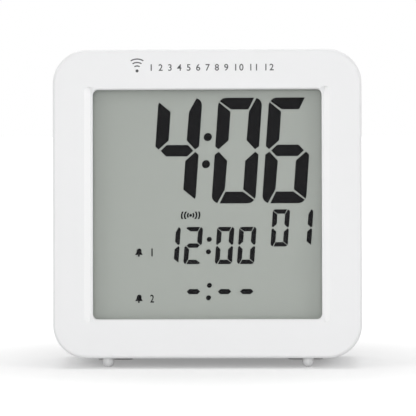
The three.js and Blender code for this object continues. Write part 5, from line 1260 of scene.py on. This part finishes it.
silicone = moulded_plastic("grey_silicone", (0.56, 0.57, 0.56), 0.7, 1200, 0.00001, specular=0.3)
key_grey = moulded_plastic("key_grey", (0.27, 0.28, 0.29), 0.45, 2600, 0.000012)
room = measured("keypad_mat")
mat_back = room.high.y - DOME_HEIGHT
mat = depth_plate("key_mat", room.size.x, room.size.z, MAT_CORNER, (room.low.y, mat_back), 0, KEY_Z)
foot = [(DOME_RADIUS + out, rise) for out, rise in DOME_FOOT]
fuse(mat, *[turned("foot", foot, Vector((x, mat_back - BITE, KEY_Z)), BACKWARD) for x in key_x])
place(soften(mat, MOULD_EDGE), silicone, "silicone", "keypad_mat")
dome = [(DOME_RADIUS, 0), (DOME_RADIUS - DOME_TAPER[0], DOME_TAPER[1])]
dome += [(DOME_NECK + out, DOME_HEIGHT - fall) for out, fall in DOME_TOP]
for number, x in enumerate(key_x, 1):
    key = f"key_{number}"
    cap_front, cap_back = measured(key).low.y, measured(key).high.y
    pad = turned(f"key_dome_{number}", dome, Vector((x, mat_back + DOME_LAP, KEY_Z)), BACKWARD)
    place(pad, silicone, "silicone")
    drop = travel_of(f"{key}_press") - (cap_front - room.high.y)
    squash(pad)
    levels = [(0, cap_front), *[(inset, cap_back - fall) for inset, fall in quarter(KEY_ROUND)]]
    for share in DISH_SHARES:
        inset = KEY_ROUND + share * (KEY_SIZE[1] / 2 - KEY_ROUND)
        levels.append((inset, cap_back - KEY_DISH * share * (2 - share)))
    cap = hull(f"key_cap_{number}", [outline(*KEY_SIZE, y, x, KEY_Z, -inset) for inset, y in levels])
    size = KEY_SIZE[0] + 2 * KEY_FLANGE, KEY_SIZE[1] + 2 * KEY_FLANGE, KEY_FLANGE_CORNER
    fuse(cap, depth_plate("flange", *size, (cap_front, cap_front + KEY_FLANGE_HEIGHT), x, KEY_Z))
    place(soften(cap, FINE_EDGE), key_grey, "key_plastic", key, body=key)

# Alarm slide switch: a steel-cased switch on the key board, with a grey knob that slides
# in it and shows through a slot in the back. Grooves across the knob give the nail a grip.
KNOB_GROOVES, KNOB_PITCH, KNOB_GROOVE, KNOB_CUT, KNOB_EDGE = 3, 0.9, 0.2, 5.0, 0.16
SWITCH_FOOT, FOOT_PITCH, FOOT_IN, FOOT_DROP, FOOT_OUT = (0.9, 0.3, 1.4), 3.3, 2.2, 0.5, 0.15

dressed("alarm_switch_body", nickel, "steel", SMALL_EDGE)
room = measured("alarm_switch_body")
corner = room.low + Vector((FOOT_IN, -FOOT_OUT, -FOOT_DROP))
seats = grid(corner.x, corner.z, corner.y, 3, 1, FOOT_PITCH)
tin(blocks("switch_feet", seats, *SWITCH_FOOT), FINE_EDGE)
room = measured("alarm_switch_knob")
cutter = grip_ribs(Vector(), KNOB_GROOVES, KNOB_PITCH, KNOB_CUT, KNOB_GROOVE)
knob = softened("alarm_switch_knob", KNOB_EDGE, 3)
carve(knob, moved(cutter, face_of(room, BACKWARD), FORWARD))
place(knob, key_grey, "key_plastic", "alarm_switch_knob", body="alarm_switch")

# Buzzer: a thin brass disc in a ring on the back wall, with a silvered ceramic disc and two
# solder points on its front.
BRASS_EDGE, BRASS_CENTRE, BRASS_POINT, CERAMIC_POINT = 0.08, 0.5, 6.8, 2.5
BUZZER_SOLDER = 0.7, 0.6, 0.25
ELEMENT_EDGE = [(0.45, 0), (0.4, 0.1), (0, 0.14)]

brass = metal("brass_sheet", (0.78, 0.6, 0.28), 0.3)
radius, thickness = brass_disc.size.x / 2, brass_disc.size.y
profile = [(radius - BRASS_EDGE, 0), (radius, BRASS_EDGE), (radius, thickness - BRASS_EDGE)]
profile += [(radius - BRASS_EDGE, thickness), (radius * BRASS_CENTRE, thickness)]
plate = turned("buzzer_plate", profile, seat, BACKWARD, DISC_STEPS)
place(plate, brass, "brass_disc", "buzzer_disc")
ceramic = measured("buzzer_ceramic")
radius, front = ceramic.size.x / 2, Vector((seat.x, ceramic.low.y, seat.z))
profile = [*[(radius - inset, rise) for inset, rise in ELEMENT_EDGE], (radius, ceramic.size.y)]
silvered = moulded_plastic("silvered_ceramic", (0.8, 0.79, 0.75), 0.35, 900, 0.000006, tint=0.04)
element = turned("buzzer_element", profile, front, BACKWARD, DISC_STEPS)
place(element, silvered, "ceramic", "buzzer_ceramic")
points = [front + RIGHT * CERAMIC_POINT, seat + RIGHT * BRASS_POINT]
solder_points("buzzer_solder", points, *BUZZER_SOLDER)

# Screws: ten pan-head self-tapping screws with cross slots. Four join the case halves from
# behind, four hold the main board to posts in the front case, two hold the key board.
SCREW = {"Head": 2.0, "Height": 1.5, "Shank": 1.0, "Pitch": 0.9, "Thread": 0.2, "Slot": 0.55}
SLOT_SHARE, HEAD_DOME, HEAD_TOP, SLOT_REACH = 0.62, 0.42, 0.9, 1.2
THREAD_SHORT, THREAD_STEPS = 0.6, 20
SCREW_TIP, TIP_LENGTH, TIP_NECK = 0.25, 1.1, 0.96


def screw_tree():
    """A screw that points down Z: domed head, cross slot, shank, tip and thread."""
    tree, given = new_tree("pan_head_screw", *SCREW, "Length")
    head, height, shank = given["Head"], given["Height"], given["Shank"]

    def times(first, second):
        return maths(tree, "MULTIPLY", first, second)

    def raised(shape, z, angle=0.0):
        return grow(tree, "Transform", Geometry=shape, Translation=vector(tree, Z=z), Rotation=(0, 0, angle))

    steps = {"Vertices": 40, "Side_Segments": 1, "Fill_Segments": 8}
    top = raised(grow(tree, "MeshCylinder", Radius=head, Depth=height, **steps), times(height, 0.5))
    apart = tree.nodes.new("ShaderNodeSeparateXYZ")
    wire(tree, apart, {0: node(tree, "GeometryNodeInputPosition", {})})
    x, y, z = apart.outputs
    share = maths(tree, "DIVIDE", maths(tree, "ADD", times(x, x), times(y, y)), times(head, head))
    drop = times(times(share, height), -HEAD_DOME)
    offset = vector(tree, Z=times(drop, maths(tree, "GREATER_THAN", z, times(height, HEAD_TOP))))
    domed = grow(tree, "SetPosition", Geometry=top, Offset=offset)
    cutter = grow(tree, "MeshCube", Size=vector(tree, X=given["Slot"], Y=times(head, SLOT_REACH), Z=height))
    slots = [raised(cutter, times(height, 0.5 + SLOT_SHARE), angle) for angle in (0, math.pi / 2)]
    cut = {"operation": "DIFFERENCE", "solver": "MANIFOLD"}
    slotted = node(tree, "GeometryNodeMeshBoolean", {0: domed, 1: slots}, **cut)
    body = maths(tree, "SUBTRACT", given["Length"], shank)
    stem = raised(grow(tree, "MeshCylinder", Vertices=24, Radius=shank, Depth=body), times(body, -0.5))
    ends = {"Radius_Top": times(shank, TIP_NECK), "Radius_Bottom": SCREW_TIP}
    tip = grow(tree, "MeshCone", Vertices=24, Depth=times(shank, TIP_LENGTH), **ends)
    tip = raised(tip, times(given["Length"], -1))
    climb = maths(tree, "SUBTRACT", body, THREAD_SHORT)
    rounds = {"Rotations": maths(tree, "DIVIDE", climb, given["Pitch"]), "Resolution": THREAD_STEPS}
    path = grow(tree, "CurveSpiral", Start_Radius=shank, End_Radius=shank, Height=climb, **rounds)
    ridge = grow(tree, "CurvePrimitiveCircle", Resolution=4, Radius=given["Thread"])
    thread = grow(tree, "CurveToMesh", Curve=path, Profile_Curve=ridge, Fill_Caps=True)
    thread = raised(thread, times(body, -1))
    return close_tree(tree, given, grow(tree, "JoinGeometry", Geometry=[slotted, stem, tip, thread]))


screw_maker = screw_tree()
board_seat = main_board.high.y + FIT


def drive(name, seat_y, direction, length):
    """A screw whose head sits at seat_y and whose point leads along the direction."""
    made = grown(f"{name}_cut", screw_maker, [(0, 0, 0)], Length=length, **SCREW)
    room = measured(name)
    place(moved(made, Vector((room.mid.x, seat_y, room.mid.z)), -direction), nickel, "steel", name)


for corner in CORNERS:
    drive(f"case_screw_{corner}", CASE_SCREW_SEAT + FIT, FORWARD, CASE_SCREW_LENGTH)
    name = f"board_screw_{corner}"
    drive(name, board_seat, FORWARD, board_seat - measured(name).low.y)
for side in ("left", "right"):
    room = measured(f"key_board_screw_{side}")
    seat_y = room.low.y + SCREW["Height"]
    drive(f"key_board_screw_{side}", seat_y, BACKWARD, room.high.y - seat_y)

# Battery door: a white plate flush with the back, with two hinge tabs below, a thumb tab
# above, three grip grooves and an arrow for the way it opens, and ribs on its inner side.
DOOR_CORNER, DOOR_THICKNESS, DOOR_EDGE = 0.6, 1.5, 0.12
TAB_WIDTH, TAB_ROOT, TAB_THICKNESS = 6.0, 2.5, 1.0
RIB_X, RIB_WIDTH, RIB_RISE, RIB_ENDS = 14.0, 1.0, 0.5, (3.5, 2.5)
THUMB_WIDTH, THUMB_THICKNESS, THUMB_CORNER, THUMB_LAP = 8.0, 0.9, 0.9, 2.0
GROOVE_LENGTH, GROOVE_PITCH, GROOVE_WIDTH, GROOVE_DEPTH = 12.0, 1.6, 0.3, 0.5
ARROW_SIZE, ARROW_SLOPE, ARROW_DEPTH = 2.2, 0.8, 0.6

room = measured("battery_door")
inner = BODY_DEPTH - DOOR_THICKNESS
panel_low, panel_high = room_low + SLIDE_FIT, room_high - SLIDE_FIT
size = room.size.x, panel_high - panel_low, DOOR_CORNER
door = depth_plate("door_plate", *size, (inner, BODY_DEPTH), 0, (panel_low + panel_high) / 2)
for side in (-1, 1):
    across, front = about(side * TAB_X, TAB_WIDTH), room.low.y
    rib_z = panel_low + RIB_ENDS[0], panel_high - RIB_ENDS[1]
    for xs, ys, zs in [
        (across, (front, inner + BITE), (panel_low, panel_low + TAB_ROOT)),
        (across, (front, front + TAB_THICKNESS), (room.low.z, panel_low + BITE)),
        (about(side * RIB_X, RIB_WIDTH), (inner - RIB_RISE, inner + BITE), rib_z),
    ]:
        fuse(door, block("wall", xs, ys, zs))
height = room.high.z - panel_high + THUMB_LAP
ys = BODY_DEPTH - THUMB_THICKNESS, BODY_DEPTH
thumb = depth_plate("thumb", THUMB_WIDTH, height, THUMB_CORNER, ys, 0, room.high.z - height / 2)
soften(fuse(door, thumb), DOOR_EDGE, 1)
size = GROOVE_LENGTH, GROOVE_WIDTH, GROOVE_WIDTH / 2 - 0.01
for i in (1, 2, 3):
    carve(door, back_opening("groove", *size, BODY_DEPTH - GROOVE_DEPTH, 0, panel_high - i * GROOVE_PITCH))
half = ARROW_SIZE / 2
middle = Vector((0, 0, panel_high - 4 * GROOVE_PITCH - half))
arrow = [Vector((-ARROW_SIZE, 0, half)), Vector((0, 0, -half)), Vector((ARROW_SIZE, 0, half))]
levels = [(ARROW_SLOPE, BODY_DEPTH - ARROW_DEPTH), (1, BODY_DEPTH), (1, BODY_DEPTH + PAST)]
carve(door, hull("arrow", [[spot * scale + BACKWARD * y + middle for spot in arrow] for scale, y in levels]))
place(door, textured, "case_rear", "battery_door", body="battery_door")

# Cells: two plain micro cells, head to tail, each a steel can with a nub, in a printed film
# jacket that leaves its ends bare, with a light band and a sign at the nub's end.
JACKET, RIM, RIM_RISE, BARE, FILM_EDGE = 0.12, 0.45, 0.02, 0.55, 0.04
FLOOR_INSETS = 1.3, 1.2
NUB_RADIUS, NUB_LENGTH = 1.9, 0.8
NUB_SHAPE = [(0.4, -0.02), (0, 0.15), (0, 0.55), (-0.25, 0.8), (-1.14, 0.8)]
BAND_SHARE, SIGN_IN, SIGN_LENGTH, SIGN_LINE, SIGN_LEVELS = 0.18, 5.5, 1.5, 0.35, (-0.08, 0.01)

colours, inputs = ((0.035, 0.1, 0.19), (0.045, 0.12, 0.22)), {"Coat Weight": 0.5, "Metallic": 0.3}
jacket_film = uneven("jacket_film", colours, (200, 2), (0.25, 0.35), inputs=inputs)
band_grey = print_ink("band_grey", (0.62, 0.64, 0.66), 0.35, 0.5)
for name, room, nub in [("battery_upper", upper, -RIGHT), ("battery_lower", lower, RIGHT)]:
    tail = face_of(room, -nub)
    radius, length = room.size.z / 2 - JACKET, room.size.x - NUB_LENGTH
    profile = [(radius - inset, 0) for inset in FLOOR_INSETS]
    profile += [(radius - RIM, RIM_RISE), (radius, RIM)]
    profile += [(radius, length - RIM), (radius - RIM, length - RIM_RISE)]
    profile += [(NUB_RADIUS + out, length + rise) for out, rise in NUB_SHAPE]
    place(turned(f"{name}_can", profile, tail, nub, BROAD_STEPS), nickel, "steel", name)
    start, covered = tail + nub * BARE, length - 2 * BARE
    for part, share, paint in [("jacket", 1 - BAND_SHARE, jacket_film), ("band", BAND_SHARE, band_grey)]:
        film = tube(f"{name}_{part}", radius + JACKET, radius, covered * share, start, nub, BROAD_STEPS)
        place(soften(film, FILM_EDGE), paint, "cell_jacket")
        start = start + nub * (covered * share)
    sign_x, minus_x = tail.x + nub.x * (length - SIGN_IN / 2 - RIM), tail.x + nub.x * SIGN_IN
    top = room.mid.y + radius + JACKET
    level, stroke = [top + rise for rise in SIGN_LEVELS], about(room.mid.z, SIGN_LENGTH)
    plus = block(f"{name}_plus", about(sign_x, SIGN_LENGTH), level, about(room.mid.z, SIGN_LINE))
    fuse(plus, block("stroke", about(sign_x, SIGN_LINE), level, stroke))
    minus = block(f"{name}_minus", about(minus_x, SIGN_LINE), level, stroke)
    place(plus, jacket_film, "cell_jacket")
    place(minus, band_grey, "cell_jacket")

# Battery contacts: nickel-plated steel in the bay's ends. Single contacts with tails stand
# at one end, a bridge at the other; each cell presses on a nub and on a tapering spring.
CONTACT_X, CONTACT_THICKNESS, CONTACT_DEPTH, CONTACT_HEIGHT = 24.85, 0.4, 9.0, 8.5
CONTACT_CORNER, TAIL_WIDTH, TAIL_LAP = 1.0, 1.9, 0.6
CELL_SPRING, CELL_SPRING_WIRE, SPRING_LENGTH = (3.25, 3.2, 1.8), 0.3, 3.85
CONTACT_NUB = [(2.2, 0), (1.9, 0.25), (1.8, 0.7), (1.55, 0.8), (0.5, 0.8)]
cell_y, upper_z, lower_z = upper.mid.y, upper.mid.z, lower.mid.z
tail_x, tail_front = CONTACT_X + CONTACT_THICKNESS / 2, measured("negative_contact").low.y


def contact_plate(name, side, z, height):
    """A plate with rounded corners that stands against the bay's end."""
    ring = outline(CONTACT_DEPTH, height, CONTACT_CORNER, 0, cell_y, z)
    walls = CONTACT_X, CONTACT_X + CONTACT_THICKNESS
    return hull(name, [[Vector((side * x, spot.x, spot.z)) for spot in ring] for x in walls])


def contact_nub(side, z):
    return turned("nub", CONTACT_NUB, Vector((side * tail_x, cell_y, z)), RIGHT * -side)


def contact_spring(side, z):
    lap = CELL_SPRING_WIRE / 2
    base = Vector((side * (CONTACT_X + lap), cell_y, z))
    return wound("spring", base, RIGHT * -side, *CELL_SPRING, SPRING_LENGTH - lap, CELL_SPRING_WIRE)


def contact_tail(z):
    depth = tail_front, cell_y - CONTACT_DEPTH / 2 + TAIL_LAP
    return block("tail", about(tail_x, CONTACT_THICKNESS), depth, about(z, TAIL_WIDTH))


negative = contact_plate("negative_plate", 1, upper_z, CONTACT_HEIGHT)
soften(fuse(negative, contact_tail(upper_z)), SHEET_EDGE)
place(fuse(negative, contact_spring(1, upper_z)), nickel, "steel", "negative_contact")
positive = contact_plate("positive_plate", 1, lower_z, CONTACT_HEIGHT)
fuse(positive, contact_tail(lower_z), contact_nub(1, lower_z))
place(soften(positive, SHEET_EDGE), nickel, "steel", "positive_contact")
bridge = contact_plate("bridge_plate", -1, (upper_z + lower_z) / 2, upper_z - lower_z + CONTACT_HEIGHT)
soften(fuse(bridge, contact_nub(-1, upper_z)), SHEET_EDGE)
place(fuse(bridge, contact_spring(-1, lower_z)), nickel, "steel", "bridge_contact")

# Feet: two round-ended pins in the front case's bottom wall, and two rubber pads glued in
# recesses under the rear case. Both are cut level with the surface that the clock stands on.
PIN_RADIUS, PIN_PULL, PIN_CHAMFER = 1.575, 0.05, 0.15
PAD_CORNER, PAD_EDGE = 1.4, [(0.0, 0.5), (0.12, 0.2), (0.35, -0.1)]


def cut_level(made):
    """Trims what lies under the surface that the clock stands on."""
    shape = bmesh.new()
    shape.from_mesh(made.data)
    level = {"plane_co": into_clock @ Vector(), "plane_no": (into_clock.to_3x3() @ UP).normalized()}
    everything = [*shape.verts, *shape.edges, *shape.faces]
    cut = bmesh.ops.bisect_plane(shape, geom=everything, clear_inner=True, **level)
    rim = [edge for edge in cut["geom_cut"] if isinstance(edge, bmesh.types.BMEdge)]
    bmesh.ops.contextual_create(shape, geom=rim)
    bmesh.ops.recalc_face_normals(shape, faces=shape.faces)
    shape.to_mesh(made.data)
    shape.free()
    return made


pin_white = moulded_plastic("pin_white", (0.96, 0.962, 0.966), 0.35, 2600, 0.000006, coat=0.2)
pad_rubber = moulded_plastic("pad_rubber", (0.8, 0.8, 0.79), 0.75, 1400, 0.00002, specular=0.3)
for side in ("left", "right"):
    room = measured(f"foot_pin_{side}")
    fall = room.size.z + PIN_PULL
    pin = [(PIN_RADIUS - PIN_CHAMFER, 0), (PIN_RADIUS, PIN_CHAMFER)]
    pin += [(PIN_RADIUS - inset, fall - rise) for inset, rise in quarter(PIN_RADIUS, EDGE_STEPS + 1)[:-1]]
    made = turned(f"pin_{side}", pin, face_of(room, UP), DOWN)
    place(cut_level(made), pin_white, "foot_pin", f"foot_pin_{side}")
    room = measured(f"rear_foot_{side}")
    size = room.size.x, room.size.y, PAD_CORNER
    levels = [(0, room.high.z), *[(inset, room.low.z + rise) for inset, rise in PAD_EDGE]]
    made = hull(f"pad_{side}", [level_ring(*size, z, room.mid.y, -inset, room.mid.x) for inset, z in levels])
    place(cut_level(made), pad_rubber, "rubber_pad", f"rear_foot_{side}")

# Wires: a red and a black lead from the contact tails to the main board, and a flat grey
# ribbon of eight strands from the key board to the main board.
LEAD_RADIUS, LEAD_BEND, LEAD_IN, LEAD_STEPS = 0.6, 1.5, 4.05, 8
LEAD_SOLDER, SOLDER_LAP, SOLDER_OUT = (0.75, 0.5, 0.2), 0.1, 0.05
RIBBON_STRANDS, RIBBON_STEPS, RIBBON_THICKNESS = 8, 24, 0.6
STRAND_WAIST, STRAND_SWELL, STRAND_STEPS = 0.18, 0.12, 6


def smooth_route(points):
    """A smooth line through the points, as close points along it."""
    padded = [points[0] * 2 - points[1], *points, points[-1] * 2 - points[-2]]
    route = []
    for a, b, c, d in zip(padded, points, points[1:], padded[3:]):
        route += interpolate_bezier(b, b + (c - a) / 6, c - (d - b) / 6, c, LEAD_STEPS + 1)[:-1]
    return [*route, points[-1]]


def insulation(name, colour, roughness=0.4):
    return moulded_plastic(name, colour, roughness, 1600, 0.000006, tint=0.04)


lead_top = tail_front - FIT
for name, z, rise, paint, slot in [
    ("positive_lead", lower_z, -1.4, insulation("red_insulation", (0.48, 0.03, 0.025)), "red_lead"),
    ("negative_lead", upper_z, 3.4, insulation("black_insulation", (0.02, 0.02, 0.021)), "black_lead"),
]:
    first, last = Vector((tail_x, lead_top, z)), Vector((tail_x - LEAD_IN, board_seat, z + rise))
    route = [first, first + FORWARD * LEAD_BEND, (first + last) / 2, last + BACKWARD * LEAD_BEND, last]
    lead = grown(f"{name}_wire", wire_tree, *joined_paths([smooth_route(route)]), Radius=LEAD_RADIUS)
    place(lead, paint, slot, name)
    ends = [first + Vector((-SOLDER_OUT, SOLDER_LAP, 0)), last + BACKWARD * (SOLDER_LAP - FIT)]
    solder_points(f"{name}_solder", ends, *LEAD_SOLDER)

room = measured("key_ribbon")
first = Vector((0, room.high.y, room.high.z - RIBBON_THICKNESS / 2))
last = Vector((0, room.low.y, room.low.z + RIBBON_THICKNESS / 2))
bend = FORWARD * (first.y - last.y) / 2
middle_line = interpolate_bezier(first, first + bend, last - bend, last, RIBBON_STEPS + 1)
strand = room.size.x / RIBBON_STRANDS
angles = [math.pi * (1 - k / STRAND_STEPS) for k in range(STRAND_STEPS)]
centres = [room.low.x + (i + 0.5) * strand for i in range(RIBBON_STRANDS)]
section = [(centre + strand / 2 * math.cos(a), math.sin(a)) for centre in centres for a in angles]
section = [(x, STRAND_WAIST + STRAND_SWELL * abs(h)) for x, h in section]
section += [(x, -h) for x, h in reversed(section)]
rings = []
for index, spot in enumerate(middle_line):
    before, after = middle_line[max(index - 1, 0)], middle_line[min(index + 1, RIBBON_STEPS)]
    across = (after - before).normalized().cross(RIGHT)
    rings.append([spot + RIGHT * x + across * h for x, h in section])
ribbon = hull("ribbon_cable", rings)
place(ribbon, insulation("grey_insulation", (0.45, 0.46, 0.47), 0.5), "ribbon", "key_ribbon")

scene = bpy.context.scene
scene.view_settings.view_transform = "Standard"
